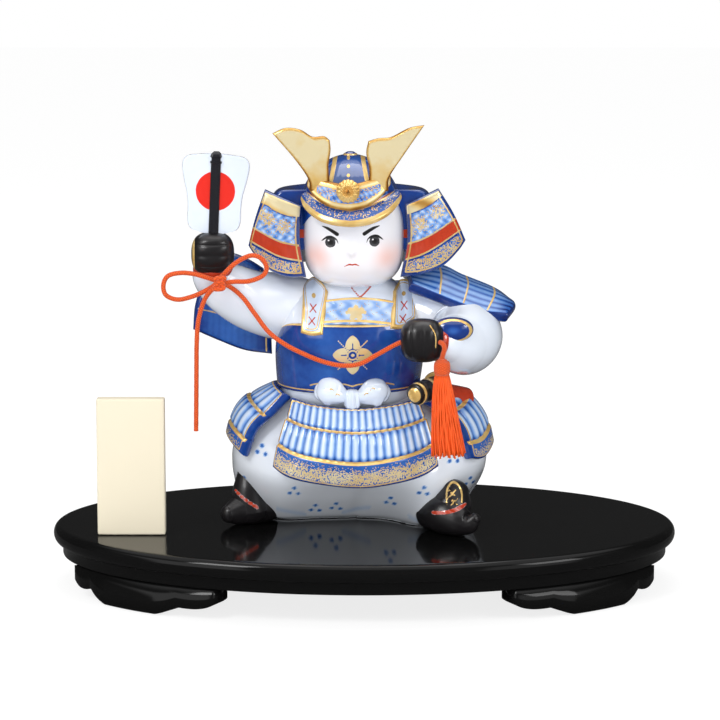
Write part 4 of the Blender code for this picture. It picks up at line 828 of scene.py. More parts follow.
def crest_paint(form):
    """Gold rim by the distance to the edge, deeper on the rounded edge as painted shade, round a dusted leaf
    field of crossed sines.
    """
    x, z, edge = form.x, form.z, form.edge
    gold = any_of(3.3 - edge, np.abs(x + 0.6) - 15.5)
    leaf = np.sin(x * 1.4) * np.sin(z * 1.7 + x)
    # Painted shade: the gold deepens on the rounded outer edge; it is deeper again towards the inner field.
    tone = 0.15 + 0.65 * ease(2.2, 0.6, edge) + 0.35 * ease(2.4, 3.2, edge)
    return {"gold": gold, "tone": tone, "cobalt": 0.5 + 0.25 * leaf, "speckle": 0.5 + 0.3 * leaf}


def horn_grid(outer, top, inner):
    """Coons patch of a horn's sides and the middle points of its top, in the crest's plane."""
    def lean(*points):
        """Set x and z on the crest's plane, which leans forwards by 0.14 of its rise."""
        return [(x, -30.4 - 0.14 * (z - 182.0), z) for x, z in points]
    low = lean(outer[0], ((outer[0][0] + inner[-1][0]) / 2, 170.0), inner[-1])
    return four_sided(lean(outer[-1], *top, inner[0]), low, lean(*outer[::-1]), lean(*inner), 70, 110)


def horns():
    """Both horns, each from its outer side, its top and its inner side."""
    left = horn_grid(((-19.8, 171.0), (-20.4, 177.0), (-26.8, 186.6), (-37.4, 199.2)),
                     ((-31.1, 201.8), (-24.0, 201.0), (-18.2, 197.6), (-12.6, 197.8)),
                     ((-9.8, 195.8), (-9.4, 190.8), (-10.4, 182.5), (-9.4, 171.5)))
    right = horn_grid(((18.6, 171.0), (19.2, 178.0), (26.2, 189.0), (35.8, 203.2)),
                      ((28.4, 201.8), (19.9, 197.5), (13.6, 196.8)),
                      ((8.8, 195.4), (7.8, 189.5), (9.2, 181.5), (8.6, 171.5)))
    return left, right[:, ::-1]


def horn_paint(form):
    """All gold, deeper in tone towards the foot and along the rounded edge as painted shade."""
    # Painted shade: the gold deepens towards the foot and on the rounded edge.
    tone = -0.08 + 0.45 * ease(190.0, 172.0, form.z) + 0.75 * ease(2.0, 0.3, form.edge)
    return {"gold": FULL, "tone": tone}


BOSS_MIDDLE = (-1.0, -35.4, 171.4)
BOSS_RADIUS = 5.6


def boss_form():
    """Round flower: rings whose radius and height swell at each of two rows of petals."""
    rows, columns = 60, 192
    share = even(rows)[:, None]
    angle = turns(columns)[None, :]
    outer, inner = np.abs(np.cos(8 * angle)), np.abs(np.sin(8 * angle))
    radius = BOSS_RADIUS * share ** 0.8 * (1 + 0.05 * (outer - 0.5) * share)
    rise = 2.6 * (1 - share ** 2.2) + 0.55 * outer * band(share, 0.55, 1.0) * 4
    rise += 0.5 * inner * np.clip(band(share, 0.25, 0.6), 0.0, 1.0) * 5
    rise += 0.9 * np.exp(-(share / 0.16) ** 2)
    front = np.stack([radius * np.cos(angle), -rise, radius * np.sin(angle)], axis=-1)
    back = front[::-6].copy()
    back[..., 1] = 3.0
    return wrapped(np.concatenate([front, back]) + np.asarray(BOSS_MIDDLE))


GUARD_LAMES = 4
# Share of the way down the guard, reach and height
GUARD = (
    (0.0, 20.0, 162.0), (0.08, 26.0, 167.0), (0.16, 32.5, 169.0), (0.24, 37.0, 167.2),
    (0.34, 39.5, 161.5), (0.55, 42.5, 150.0), (0.78, 45.0, 138.0), (1.0, 46.5, 127.0),
)
GUARD_NECK = 0.3                # share of its height above the first lame
GUARD_OPENING = (58.0, 73.0)    # degrees off the front where the guard is shut and where it is full
GUARD_LIFT = 13.0               # how far its front corners rise
GUARD_LIFT_ENDS = (85.0, 125.0) # degrees off the front where the lift is whole and where it is none
GUARD_TUCK = 14.0               # reach of its hidden stretch under the bowl


def guard_form():
    """Laced neck guard: a rounded shoulder round the bowl, then lames that lap each other."""
    rows, columns = 140, 220
    down = even(rows)
    angle = turns(columns, FRONT)[None, :]
    aside = np.degrees(off_front(angle))
    shut, full = GUARD_OPENING
    open_front = np.clip((aside - shut) / (full - shut), 0.0, 1.0)
    whole, none = GUARD_LIFT_ENDS
    lift = GUARD_LIFT * np.clip((none - aside) / (none - whole), 0.0, 1.0) * down[:, None] ** 2
    reach, height = (column[:, None] for column in rows_through(GUARD, down, 0)[1:])
    down = down[:, None]
    lame = np.maximum(down - GUARD_NECK, 0.0) / (1 - GUARD_NECK) * GUARD_LAMES
    lap = 1.3 * (lame % 1.0) ** 1.5
    out = GUARD_TUCK + (reach + lap - GUARD_TUCK) * open_front
    x = 2.0 * down + out * 1.02 * np.cos(angle)
    y = 2.0 + out * 0.98 * np.sin(angle)
    return wrapped(np.stack([x, y, height + lift], axis=-1))


def guard_paint(form):
    """Deep wash, paler on the laces; a gold rule at the foot of each lame, and one red lame."""
    down = np.maximum(form.v - GUARD_NECK, 0.0) / (1 - GUARD_NECK) * GUARD_LAMES
    lace = np.abs(np.sin(form.u * math.pi * 90.0))
    place = down % 1.0
    laced = (down > 0.0) & (form.v < 1.0) & (form.y > -1.0)
    gold = np.where(laced, (0.04 - np.abs(place - 0.93)) * 9.0, FAR)
    red = np.where((down > 2.0) & (down < 3.0), (0.36 - np.abs(place - 0.42)) * 9.0, FAR)
    open_lace = ease(0.0, 0.3, place) * ease(1.0, 0.7, place) * laced
    return {"gold": gold, "red": red, "cobalt": 0.84 - 0.44 * lace * open_lace}


def wing_grid(way, outer_top, outer_low, low_middle, inner_top, inner_low, middle):
    """Wing: a Coons patch from its inner edge, beside the cheek, to its outer edge."""
    top = (inner_top, ((inner_top[0] + outer_top[0]) / 2 - way, -11.5,
                       (inner_top[2] + outer_top[2]) / 2 - 0.4), outer_top)
    beside = (inner_top[0] + way * 1.0, inner_top[1] - 1.0, 145.0)
    return panel(top, (inner_low, *low_middle, outer_low), [beside], [middle], 120, 120)


def wings():
    """Both wings, each from its corners, its foot's middle points and its outer edge's middle."""
    left = wing_grid(-1, (-42.0, -9.0, 169.7), (-50.2, -6.0, 141.6),
                     ((-31.0, -13.0, 126.6), (-39.5, -10.0, 129.6), (-46.6, -7.5, 136.4)),
                     (-23.8, -11.5, 162.0), (-21.8, -11.5, 126.2), (-46.6, -8.0, 156.0))
    right = wing_grid(1, (43.4, -9.0, 170.2), (57.0, -6.0, 144.2),
                      ((34.0, -13.0, 127.6), (45.3, -10.0, 131.6), (53.0, -7.5, 138.6)),
                      (27.0, -11.5, 162.6), (24.8, -11.5, 126.4), (50.8, -8.0, 158.0))
    return left[:, ::-1], right


def wing_paint(top, low, line, mums):
    """Painting of a wing: gilt head band, speckled field, red band, and a speckled foot."""
    def paint(form):
        x, z, edge = form.x, form.z, form.edge
        head_line, foot_line, rule = curve_at(x, top), curve_at(x, low), curve_at(x, line)
        gold = [band(z, foot_line, head_line + 2.0), 0.4 - np.abs(z - rule - 0.5),
                0.4 - np.abs(z - rule + 7.0), 0.35 - np.abs(edge - 2.6)]
        mum = any_of(*(flower(x, z, spot, 3.8, 12) for spot in mums))
        inside = ease(1.8, 3.6, edge)
        red = band(z, rule - 6.6, rule)
        field = ease(0.0, 1.0, band(z, rule, foot_line)) * inside
        foot = ease(0.0, 1.0, rule - 8.0 - z) * inside
        leaf = 0.5 + 0.5 * np.sin(x * 1.3 + np.sin(z * 1.1)) * np.cos(z * 1.2)
        cobalt = 0.86 - field * (0.70 - 0.42 * leaf) - foot * (0.12 + 0.22 * leaf)
        shown = form.side * form_facing(form)
        return {"gold": np.where((shown > 0) & (edge > 0.9), any_of(*gold), FAR),
                "red": np.where(shown > 0, all_of(red, edge - 0.6), FAR),
                "speckle": np.where(shown > 0, field * (0.34 + 0.9 * (mum > 0)) + foot * 1.1, 0.0),
                "tone": 0.35 + 0.45 * np.sin(x * 0.22 + 0.5 * z) * (z > head_line - 9.0), "cobalt": cobalt}
    return paint


# Of each wing: its head line, the field's foot line, the red band's upper line, and its flowers
WING_LINES = (
    (((-41.8, 169.1), (-37.4, 166.6), (-31.7, 163.7), (-25.7, 162.2)),
     ((-46.0, 164.0), (-40.4, 161.9), (-37.7, 159.9), (-30.6, 157.3), (-22.7, 156.6)),
     ((-50.0, 151.4), (-44.6, 148.6), (-35.6, 144.4), (-24.3, 141.8)),
     ((-40.2, 155.6), (-33.0, 152.2), (-45.2, 158.4))),
    (((25.8, 163.5), (32.5, 164.9), (42.2, 169.9)),
     ((24.9, 157.1), (30.6, 158.8), (38.5, 162.2), (46.0, 167.5)),
     ((27.3, 142.6), (35.2, 145.2), (42.7, 149.0), (51.4, 154.6), (56.0, 157.6)),
     ((34.8, 153.2), (43.0, 159.2), (29.0, 150.0))),
)


def form_facing(form):
    """1 where a plate's first face looks to the front, -1 where it looks back."""
    return 1 if form.y[form.side > 0].mean() < form.y[form.side < 0].mean() else -1


# Body and armour

# Rise above the waist, and the chest's left, right, front and back reach there
CHEST = (
    (-8.0, -33.0, 31.0, -24.0, 33.0), (0.0, -35.8, 33.8, -27.5, 36.0), (16.0, -36.8, 35.8, -31.0, 37.0),
    (30.0, -36.0, 35.5, -31.0, 36.0), (38.0, -34.0, 33.5, -27.5, 34.0), (45.0, -30.0, 30.0, -20.0, 30.0),
    (50.0, -24.0, 25.0, -13.0, 25.0), (55.0, -15.0, 18.0, -7.0, 18.0),
)
CHEST_SQUARE = 2.4              # power of its superellipses


def chest_front(x, rise):
    """Where the front of the chest lies, at a place across and a rise above the waist."""
    left, right, front, back = rows_through(CHEST, rise, 0)[1:]
    across = np.clip(np.abs(x - (left + right) / 2) / ((right - left) / 2), 0.0, 0.98)
    return (front + back) / 2 - (back - front) / 2 * (1 - across ** CHEST_SQUARE) ** (1 / CHEST_SQUARE)


def body_rings(rises, swell, columns):
    """Superellipse rings of the chest at some rises, each swollen by its own amount."""
    angle = turns(columns, FRONT)[None, :]
    rises = np.asarray(rises, dtype=float)
    left, right, front, back = (column[:, None] for column in rows_through(CHEST, rises, 0)[1:])
    swell = np.asarray(swell, dtype=float)[:, None]
    x, y = oval(left - swell, right + swell, front - swell, back + swell, CHEST_SQUARE, angle)
    return np.stack([x, y, WAIST + rises[:, None] + 0 * x], axis=-1)


def chest_form():
    """Body: the chest's rings from below the waist up to the neck."""
    return wrapped(body_rings(np.linspace(-8.0, 55.0, 90), np.zeros(90), 240))


def chest_paint(form):
    """Bare glaze with two red strokes that meet as a collar."""
    x, z = form.x, form.z
    front = form.y < 0.0
    collar = any_of(stroke(x, z, ((-4.4, 126.5), (1.0, 120.6), (4.8, 116.9)), 0.75),
                    stroke(x, z, ((14.2, 126.5), (9.2, 120.6), (4.4, 116.6)), 0.75))
    return {"red": np.where(front, collar, FAR), "cobalt": 0.05}


ARMHOLE_DROP = 9.0
ARMHOLE_AT, ARMHOLE_WIDTH = 1.57, 0.45      # angles off the front


def breastplate_form():
    """Barrel of the armour: the chest's rings a little larger, with rolled edges and dipped armholes."""
    share = even(130)
    rises = 0.3 + 35.2 * share
    roll = np.sqrt(1 - (1 - np.clip(np.minimum(share, 1 - share) / 0.03, 0.0, 1.0)) ** 2)
    swell = -0.9 + (1.9 + 0.8 * np.exp(-(share / 0.035) ** 2)) * roll
    grid = body_rings(rises, swell, 300)
    aside = off_front(turns(300, FRONT))
    dip = ARMHOLE_DROP * np.exp(-((aside - ARMHOLE_AT) / ARMHOLE_WIDTH) ** 2)
    grid[..., 2] -= dip[None, :] * share[:, None] ** 3
    return wrapped(grid)


EMBLEM = (1.2, 90.6)            # middle of the breastplate's flower


def breastplate_paint(form):
    """Deep wash with two paler bands of painted highlight; petals shrink by the angle off each quarter's
    axis, with rays and rules.
    """
    x, z, share = form.x, form.z, form.v
    dx, dz = x - EMBLEM[0], z - EMBLEM[1]
    away, angle = np.hypot(dx, dz), np.arctan2(dz, dx)
    quarter = math.pi / 2
    off_axis = np.abs((angle + quarter / 2) % quarter - quarter / 2) / (quarter / 2)
    petals = all_of(9.8 * (1 - 0.50 * off_axis ** 1.15) - away, away - 3.2)
    petals = all_of(petals, (1 - off_axis) * away * 0.7 - 0.45)
    notch = 0.3 - np.minimum(np.abs(dx), np.abs(dz))
    petals = all_of(petals, -all_of(notch, 6.0 - away))
    heart = any_of(0.35 - np.abs(away - 2.3), 0.8 - away)
    rays = all_of(0.26 - np.abs(np.abs(dx) - np.abs(dz)) / 1.414, 10.4 - away, away - 2.4)
    front = form.y < 0.0
    edge_lines = any_of(band(share, 0.965, 0.99) * 35.0, band(share, 0.045, 0.06) * 35.0)
    scallop = 0.35 - np.abs(z - WAIST - 4.6 - 1.2 * np.abs(np.sin((x - 1.0) * 0.30)))
    scallop = np.where(np.abs(x - 1.0) < 21.0, scallop, FAR)
    design = np.where(front, any_of(petals, heart, rays, scallop), FAR)
    # Painted highlights: two paler upright bands, near x -12 and x 18, lighten the wash; the wash is also
    # darker towards the foot and head edges.
    dark = 0.80 - 0.10 * np.exp(-((x + 12.0) / 7.0) ** 2) - 0.08 * np.exp(-((x - 18.0) / 5.0) ** 2)
    dark += 0.16 * ease(0.12, 0.0, share) + 0.10 * ease(0.90, 1.0, share)
    return {"gold": any_of(design, edge_lines), "tone": 0.12 + 0.3 * ease(9.0, 14.0, away),
            "cobalt": dark}


def on_chest(outline, raise_by):
    """Edge points given as x and z, set on the front of the chest and raised a little."""
    return [(x, float(chest_front(x, z - WAIST)) - raise_by, z) for x, z in outline]


def strap_grid(top, low):
    """Strap: a Coons patch laid on the chest, each side bent out by a tenth of a millimetre."""
    left = (top[0], ((top[0][0] + low[0][0]) / 2 - 0.1, (top[0][1] + low[0][1]) / 2), low[0])
    right = (top[-1], ((top[-1][0] + low[-1][0]) / 2 + 0.1, (top[-1][1] + low[-1][1]) / 2), low[-1])
    return four_sided(*(on_chest(side, 1.2) for side in (top, low, left, right)), 70, 110)


def straps():
    """Both straps, each from its rounded head and its foot."""
    left = strap_grid(((-23.2, 119.6), (-20.6, 123.0), (-17.4, 124.4), (-14.0, 122.8), (-11.2, 119.6)),
                      ((-24.2, 100.6), (-19.0, 99.8), (-13.4, 100.6)))
    right = strap_grid(((21.6, 119.0), (24.0, 122.2), (26.9, 123.6), (29.8, 121.8), (32.2, 118.4)),
                       ((19.6, 103.0), (25.4, 102.6), (31.6, 105.6)))
    return left, right


# Of each strap: its two crosses, and its dot
STRAP_MARKS = ((((-18.3, 112.3), (-18.8, 106.7)), (-18.1, 117.5)),
               (((26.7, 112.5), (25.9, 106.9)), (26.6, 117.5)))


def strap_paint(crosses, dot):
    """Gold rim and inner line by the distance to the edge, red crosses and one gold dot."""
    def paint(form):
        x, z, edge = form.x, form.z, form.edge
        red = []
        for cx, cz in crosses:
            for lean in (-1, 1):
                red.append(stroke(x, z, ((cx - 1.5, cz - 1.7 * lean), (cx + 1.5, cz + 1.7 * lean)), 0.55))
        gold = any_of(1.9 - edge, disc(x, z, dot, 1.0), 0.25 - np.abs(edge - 2.9))
        return {"gold": gold, "red": any_of(*red), "cobalt": 0.10 + 0.12 * ease(3.4, 1.6, edge)}
    return paint


def band_grid():
    """Breast band: a Coons patch laid on the chest between two lines."""
    top = on_chest(((-13.0, 115.6), (-4.0, 116.7), (4.5, 117.0), (13.0, 116.4), (21.5, 114.8)), 0.7)
    low = on_chest(((-14.5, 104.9), (-5.0, 105.6), (4.0, 105.7), (13.0, 105.0), (22.5, 103.4)), 0.7)
    return panel(top, low, (), (), 170, 70)


def band_paint(form):
    """Gold rules at both edges, a cloud of gold discs, and a wash of crossed sines."""
    x, z, v = form.x, form.z, form.v
    rules = any_of(band(v, 0.03, 0.12), band(v, 0.88, 0.97)) * 11.0
    cx, cz = 2.8, 110.7
    puffs = ((0.0, 0.0, 2.3), (-2.6, 0.9, 1.5), (2.7, 0.9, 1.5), (-1.6, -1.7, 1.4), (1.7, -1.7, 1.4),
             (0.0, 2.1, 1.3), (-4.4, 0.1, 0.8), (4.4, 0.1, 0.8))
    cloud = any_of(*(disc(x, z, (cx + dx, cz + dz), radius) for dx, dz, radius in puffs))
    wash = 0.27 + 0.13 * np.sin(x * 0.9 + np.sin(z * 1.2)) * np.cos(z * 0.8)
    tone = 0.42 - 0.30 * (cloud > -0.3)
    return {"gold": any_of(rules, cloud), "tone": tone, "speckle": 0.10, "cobalt": wash}


def ring_form(low, high, swell):
    """A padded belt: chest rings that swell out as a rounded band between two heights."""
    share = even(36)
    share = share - 0.8 * np.sin(2 * math.pi * share) / (2 * math.pi)
    out = swell * (1 - np.abs(2 * share - 1) ** 3) - 0.8
    grid = body_rings(low + (high - low) * share, out, 300)
    grid[..., 2] -= 1.2 * np.exp(-((grid[..., 0] - 1.0) / 20.0) ** 2) * (grid[..., 1] < 0)
    return wrapped(grid)


def sash_paint(form):
    """A faint blue tint at its foot as painted shade, one gold line and a row of gold ticks."""
    share, u = form.v, form.u
    # Painted shade: a faint blue tint on the lower quarter, where the band turns under.
    painted_shade = 0.02 + 0.10 * ease(0.25, 0.0, share)
    ticks = all_of(0.5 - np.abs((u * 40.0) % 1.0 - 0.5) * 7.0, band(share, 0.3, 0.7) * 6.0)
    return {"cobalt": painted_shade, "gold": any_of(0.4 - np.abs(share - 0.09) * 8.5, ticks * 0.6)}


def lobe_grid(way):
    """One wing of the bow: a flattened sweep that opens from the knot, creased down its length."""
    y = float(chest_front(1.0, 0.0)) - 2.6
    rows = rounded_ends([(1.0 + way * out, y + deep, WAIST + rise, radius) for out, deep, rise, radius in (
        (2.7, -1.4, -0.8, 2.6), (5.8, -2.2, 0.4, 4.4), (9.9, -1.8, 1.9, 6.3), (14.0, -0.2, 1.9, 6.1),
        (15.8, 1.0, 1.4, 4.2))])

    def crease(share, angle):
        """Radius with three soft creases round, and two that grow along the lobe."""
        return 1.0 + 0.12 * np.cos(3 * angle + 2.0) + 0.10 * np.cos(2 * angle) * share
    return sweep(rows, 110, 110, squash=0.66, shape=crease)


def bow_paint(form):
    """A faint wash with one short gold stroke at each of four spots."""
    x, z = form.x, form.z
    spots = ((-9.5, 74.0), (-6.5, 71.5), (11.0, 74.5), (8.0, 72.0))
    marks = [stroke(x, z, ((a - 1.2, b - 0.8), (a, b + 0.6), (a + 1.3, b - 0.2)), 0.5) for a, b in spots]
    return {"gold": np.where(form.y < -29.0, any_of(*marks), FAR), "cobalt": 0.07}


def bow_knot_form():
    """Knot: a superellipsoid whose front ripples as a cosine across."""
    grid = blob((1.0, float(chest_front(1.0, 0.0)) - 3.8, 68.4), (4.4, 4.4, 5.2), 2.2, 2.8,
                rows=60, columns=100)
    form = wrapped(grid)
    form.points[:, 1] += 0.35 * np.cos(form.x * 2.2) * (form.y < -30.0)
    return form


# Skirt panels

TIER_LIP = 0.9                  # how far each lame stands over the next
LONG_TIERS = (0.31, 0.66)       # where the lames of the front and back panels end
SIDE_TIERS = (0.40, 0.78)
# Head and foot edges, middle points of both sides, columns, rows, bulge, rim, ribs, tiers and height
SKIRT_PANELS = {
    "skirt_front": (
        ((-28.5, -19.0, 67.0), (-16.0, -28.0, 64.6), (1.0, -31.5, 63.2), (18.0, -28.5, 64.2),
         (33.5, -19.0, 66.2)),
        ((-37.0, -31.0, 33.8), (-29.0, -37.5, 30.2), (-14.5, -41.5, 28.4), (4.5, -43.4, 27.2),
         (20.0, -42.0, 28.4), (34.0, -37.5, 30.6), (42.8, -32.0, 34.4)),
        ((-30.6, -24.5, 57.5), (-34.0, -28.5, 46.6)), ((36.2, -24.5, 58.2), (39.6, -28.5, 47.4)),
        330, 130, (0.0, -5.0, 0.0), 2.0, 21, LONG_TIERS, 38.0),
    "skirt_left": (
        ((-34.0, 17.0, 67.0), (-36.0, 4.0, 69.0), (-34.5, -8.0, 69.0), (-30.0, -18.0, 67.5)),
        ((-57.5, 17.0, 42.0), (-59.5, 2.0, 43.0), (-57.0, -10.0, 41.0), (-51.8, -19.0, 37.0)),
        ((-44.5, 19.0, 61.5), (-52.5, 19.0, 53.5)), ((-38.2, -20.5, 59.0), (-46.6, -20.5, 50.6)),
        150, 120, (-1.5, 0.0, 1.0), 2.2, 8, SIDE_TIERS, 38.0),
    "skirt_right": (
        ((33.0, -17.0, 66.0), (37.5, -7.0, 68.5), (38.5, 5.0, 68.5), (36.0, 17.0, 66.5)),
        ((58.0, -18.0, 35.5), (64.5, -10.0, 34.0), (69.0, 2.0, 38.0), (67.5, 17.0, 39.5)),
        ((44.5, -20.0, 60.5), (53.5, -20.5, 50.5)), ((50.0, 19.0, 62.5), (61.5, 19.0, 52.0)),
        150, 120, (2.0, 0.0, 1.5), 2.2, 8, SIDE_TIERS, 38.0),
    "skirt_back": (
        ((33.0, 24.0, 68.0), (16.0, 36.0, 67.0), (0.0, 38.5, 66.5), (-17.0, 36.0, 67.0),
         (-35.0, 24.0, 68.0)),
        ((48.0, 42.0, 36.0), (26.0, 53.0, 31.5), (2.0, 56.5, 30.5), (-22.0, 53.0, 31.5),
         (-44.0, 42.0, 36.0)),
        [(40.0, 34.0, 54.0)], [(-39.5, 34.0, 54.0)], 240, 100, (0.0, 5.0, 0.0), 2.0, 9, LONG_TIERS, 40.0),
}


def ribbed(grid, ribs, tiers):
    """Relief of a laced panel: rounded upright ribs down to the last tier, and a lip at each tier."""
    rows, columns = grid.shape[:2]
    u, v = np.meshgrid(close_at_ends(columns), close_at_ends(rows))
    rib = np.abs(np.sin(math.pi * ribs * u)) ** 0.7
    laced = ease(tiers[-1] + 0.03, tiers[-1] - 0.03, v)
    dip = sum(np.exp(-((v - line) / 0.02) ** 2) for line in tiers)
    step = sum(TIER_LIP * ease(line - 0.01, line + 0.035, v) for line in tiers)
    return bpy.context.scene.doll_sizes.rib_depth / MM * rib * laced + step - 0.8 * dip


def skirt_paint(ribs, tiers, height):
    """Lacing of a panel: pale ribs with blue between, gold rules at the tiers, a gilt dusted hem."""
    def paint(form):
        u, v, edge = form.u, form.v, form.edge
        rib = np.abs(np.sin(math.pi * ribs * u))
        starts = (0.0, *tiers)
        place = np.zeros_like(v)
        for start, stop in zip(starts, (*tiers, 1.0)):
            inside = (v >= start) & (v < stop)
            place = np.where(inside, (v - start) / (stop - start), place)
        laced = ease(tiers[-1] + 0.01, tiers[-1] - 0.01, v)
        wash = 0.10 + 0.50 * (1 - rib) + 0.32 * ease(0.35, 0.0, place)
        wash += 0.35 * ease(0.80, 1.0, place)
        hem = 0.66 + 0.15 * ease(0.60, 0.95, place)
        cobalt = hem + (wash - hem) * laced
        cobalt = np.maximum(cobalt, 0.80 * ease(3.0, 1.4, edge))
        rules = any_of(*(0.75 - np.abs(v - line - 0.01) * height for line in tiers))
        side_line = all_of(0.35 - np.abs(edge - 2.2), 0.99 - v + 0 * u)
        shown = form.side > 0
        dust = ease(tiers[-1] + 0.02, tiers[-1] + 0.20, v) * ease(1.6, 4.2, edge) * 1.7
        return {"gold": np.where(shown & (edge > 0.8), any_of(rules, side_line), FAR),
                "tone": 0.42 - 0.30 * np.clip(dust, 0.0, 1.0),
                "speckle": np.where(shown, dust, 0.0), "cobalt": np.where(shown, cobalt, 0.9)}
    return paint


# Trousers and boots

# Height, reach to the left, right, front and back, bulge over each knee, and power of the superellipse
TROUSERS = (
    (0.0, -55.0, 54.0, 3.0, 46.0, 7.0, 24.0, 2.7), (4.0, -57.5, 58.0, -3.0, 50.0, 8.0, 24.0, 2.6),
    (16.0, -59.5, 65.0, -17.0, 54.0, 8.0, 16.0, 2.5), (28.0, -60.5, 69.0, -29.0, 54.0, 5.0, 8.0, 2.4),
    (38.0, -59.5, 68.0, -30.0, 50.0, 2.0, 3.0, 2.3), (48.0, -53.0, 59.0, -28.0, 45.0, 0.0, 0.0, 2.2),
    (58.0, -42.0, 46.0, -25.0, 39.0, 0.0, 0.0, 2.2), (66.0, -34.0, 35.0, -23.0, 34.0, 0.0, 0.0, 2.3),
    (73.0, -30.0, 29.0, -20.0, 31.0, 0.0, 0.0, 2.4),
)


def trousers_form():
    """Baggy trousers: superellipse rings, pushed forwards over each knee, with soft gathers."""
    heights = 0.05 + 72.9 * even(130)
    columns = 400
    angle = turns(columns, FRONT)[None, :]
    table = [column[:, None] for column in rows_through(TROUSERS, heights, 0)]
    left, right, front, back, near, far, square = table[1:]
    x, y = oval(left, right, front, back, square, angle)
    middle = (front + back) / 2
    facing = np.clip((middle - y) / (middle - front), 0.0, 1.0) ** 0.7
    y = y - (near * np.exp(-((x + 38.0) / 15.0) ** 2) + far * np.exp(-((x - 40.0) / 15.0) ** 2)) * facing
    z = heights[:, None] + 0 * x
    foot = ease(30.0, 4.0, z)
    gather = 0.55 * np.sin(9 * angle + 0.08 * z) + 0.35 * np.sin(17 * angle - 0.12 * z + 1.0)
    crease = 1.3 * np.exp(-((x - 2.0 - 0.18 * z) / 3.2) ** 2) * foot * (y < middle)
    scale = 1 + (gather * foot) / 55.0
    x, y = 4.0 + (x - 4.0) * scale, middle + (y - middle) * scale + crease
    tuck = np.sqrt(1 - (1 - np.clip(z / 3.0, 0.0, 1.0)) ** 2) - 1
    x, y = x + np.sign(x - 4.0) * 2.0 * tuck, y + np.sign(y - middle) * 2.0 * tuck
    return wrapped(np.stack([x, y, z], axis=-1))


# Middles of the dot clusters, on the front and on the back
DOT_CLUSTERS = (
    (-44.5, 40.2), (-28.2, 20.2), (-7.5, 9.0), (19.8, 13.8), (51.2, 36.7), (-54.0, 22.0), (36.0, 22.0),
    (60.0, 22.0), (-18.0, 8.0),
)
BACK_CLUSTERS = ((-40.0, 22.0), (-20.0, 12.0), (2.0, 20.0), (24.0, 10.0), (44.0, 24.0))


def trousers_paint(form):
    """Faint blue lines of painted shade in the folds near the foot, and clusters of three blue dots in front
    and behind.
    """
    x, z = form.x, form.z
    dots = []
    for spots, side in ((DOT_CLUSTERS, form.y < 10.0), (BACK_CLUSTERS, form.y >= 10.0)):
        for cx, cz in spots:
            for dx, dz in ((-1.9, -1.0), (0.4, 2.1), (2.2, -1.5)):
                dots.append(np.where(side, disc(x, z, (cx + dx, cz + dz), 0.95), FAR))
    dot = np.clip(any_of(*dots) / 0.5 + 0.5, 0.0, 1.0)
    # Painted shade: a faint blue tint along wavy fold lines near the foot.
    painted_shade = 0.10 * np.exp(-((z - 6.0 - 3.0 * np.sin(x * 0.11)) / 1.6) ** 2) * (np.sin(x * 0.19 + 1.0) > 0.2)
    return {"cobalt": np.maximum(0.02 + painted_shade, 0.62 * dot)}


def boot_pieces():
    """Each boot: an upright leg and a shoe that runs from heel to toe."""
    near_leg = sweep(rounded_ends(((-52.5, -3.0, 25.0, 5.0), (-51.5, -4.5, 17.0, 8.4),
                                   (-50.0, -5.5, 7.0, 9.6))), 90, 96)
    near_shoe = sweep(rounded_ends(((-37.0, 2.0, 6.5, 6.2), (-43.0, -1.5, 8.0, 8.4), (-51.0, -5.5, 8.0, 8.4),
                                    (-57.5, -9.5, 6.6, 6.9), (-61.5, -12.5, 6.0, 4.6))), 110, 96)
    far_leg = sweep(rounded_ends(((51.4, -21.5, 19.5, 8.0), (50.4, -24.0, 14.0, 10.2),
                                  (48.8, -25.5, 8.0, 10.6))), 90, 96)
    far_shoe = sweep(rounded_ends(((40.0, -19.0, 8.0, 8.0), (46.5, -26.0, 9.4, 10.0),
                                   (53.0, -32.0, 7.6, 8.0), (58.5, -35.6, 6.8, 5.4),
                                   (61.6, -37.2, 9.6, 3.0))), 120, 96)
    for grid in (near_leg, near_shoe, far_leg, far_shoe):
        grid[..., 2] = np.maximum(grid[..., 2], 0.05)
    return near_leg, near_shoe, far_leg, far_shoe


# Of each boot: its red tie, and the gold arch of the right one
BOOT_MARKS = (
    (((-57.8, 17.4), (-52.4, 13.4), (-46.8, 9.8)),),
    (((41.0, 11.9), (48.5, 13.0), (56.8, 15.5)),
     ((47.6, 16.2), (47.9, 22.0), (50.4, 25.4), (53.4, 24.6), (55.2, 21.0), (55.2, 16.8))),
)


def boot_paint(tie, arch=None):
    """Black glaze with a red tie, and where an arch is given, gold crosses under it."""
    def paint(form):
        x, z = form.x, form.z
        front = form.y < 20.0
        red = stroke(x, z, tie, 1.7)
        gold = FAR + 0 * x
        if arch is not None:
            gold = stroke(x, z, arch, 0.8)
            for lean in (-1, 1):
                for middle in ((50.6, 20.9), (51.4, 17.2)):
                    gold = any_of(gold, stroke(x, z, (
                        (middle[0] - 1.6, middle[1] - 1.4 * lean),
                        (middle[0] + 1.6, middle[1] + 1.4 * lean)), 0.55))
        red = np.where(front, red, FAR)
        return {"black": np.minimum(FULL, -red), "red": red, "gold": np.where(front, gold, FAR)}
    return paint


# Arms

def sleeve_form(stations, rows, depth, twist):
    """A sweep whose radius sways as three sine waves round, which turn along the arm."""
    def folds(share, angle):
        return 1 + depth * np.sin(3 * angle + twist * share) * ease(0.1, 0.5, share)
    return wrapped(sweep(stations, rows, 160, shape=folds))


def raised_sleeve_form():
    """Sleeve to the raised fist, widest at the upper arm."""
    x, y, z = RAISED_FIST
    return sleeve_form((
        (-10.0, 8.0, SHOULDER - 2.0, 10.0), (-22.0, 6.0, SHOULDER, 15.5),
        (-37.0, 2.0, SHOULDER + 2.6, 16.6), (-50.0, -1.0, SHOULDER + 6.0, 15.2),
        (x + 6.5, y + 7.0, z - 18.0, 13.2), (x + 0.5, y + 3.4, z - 11.5, 10.8),
        (x - 0.6, y + 1.8, z - 7.0, 9.0)), 150, 0.022, 9)


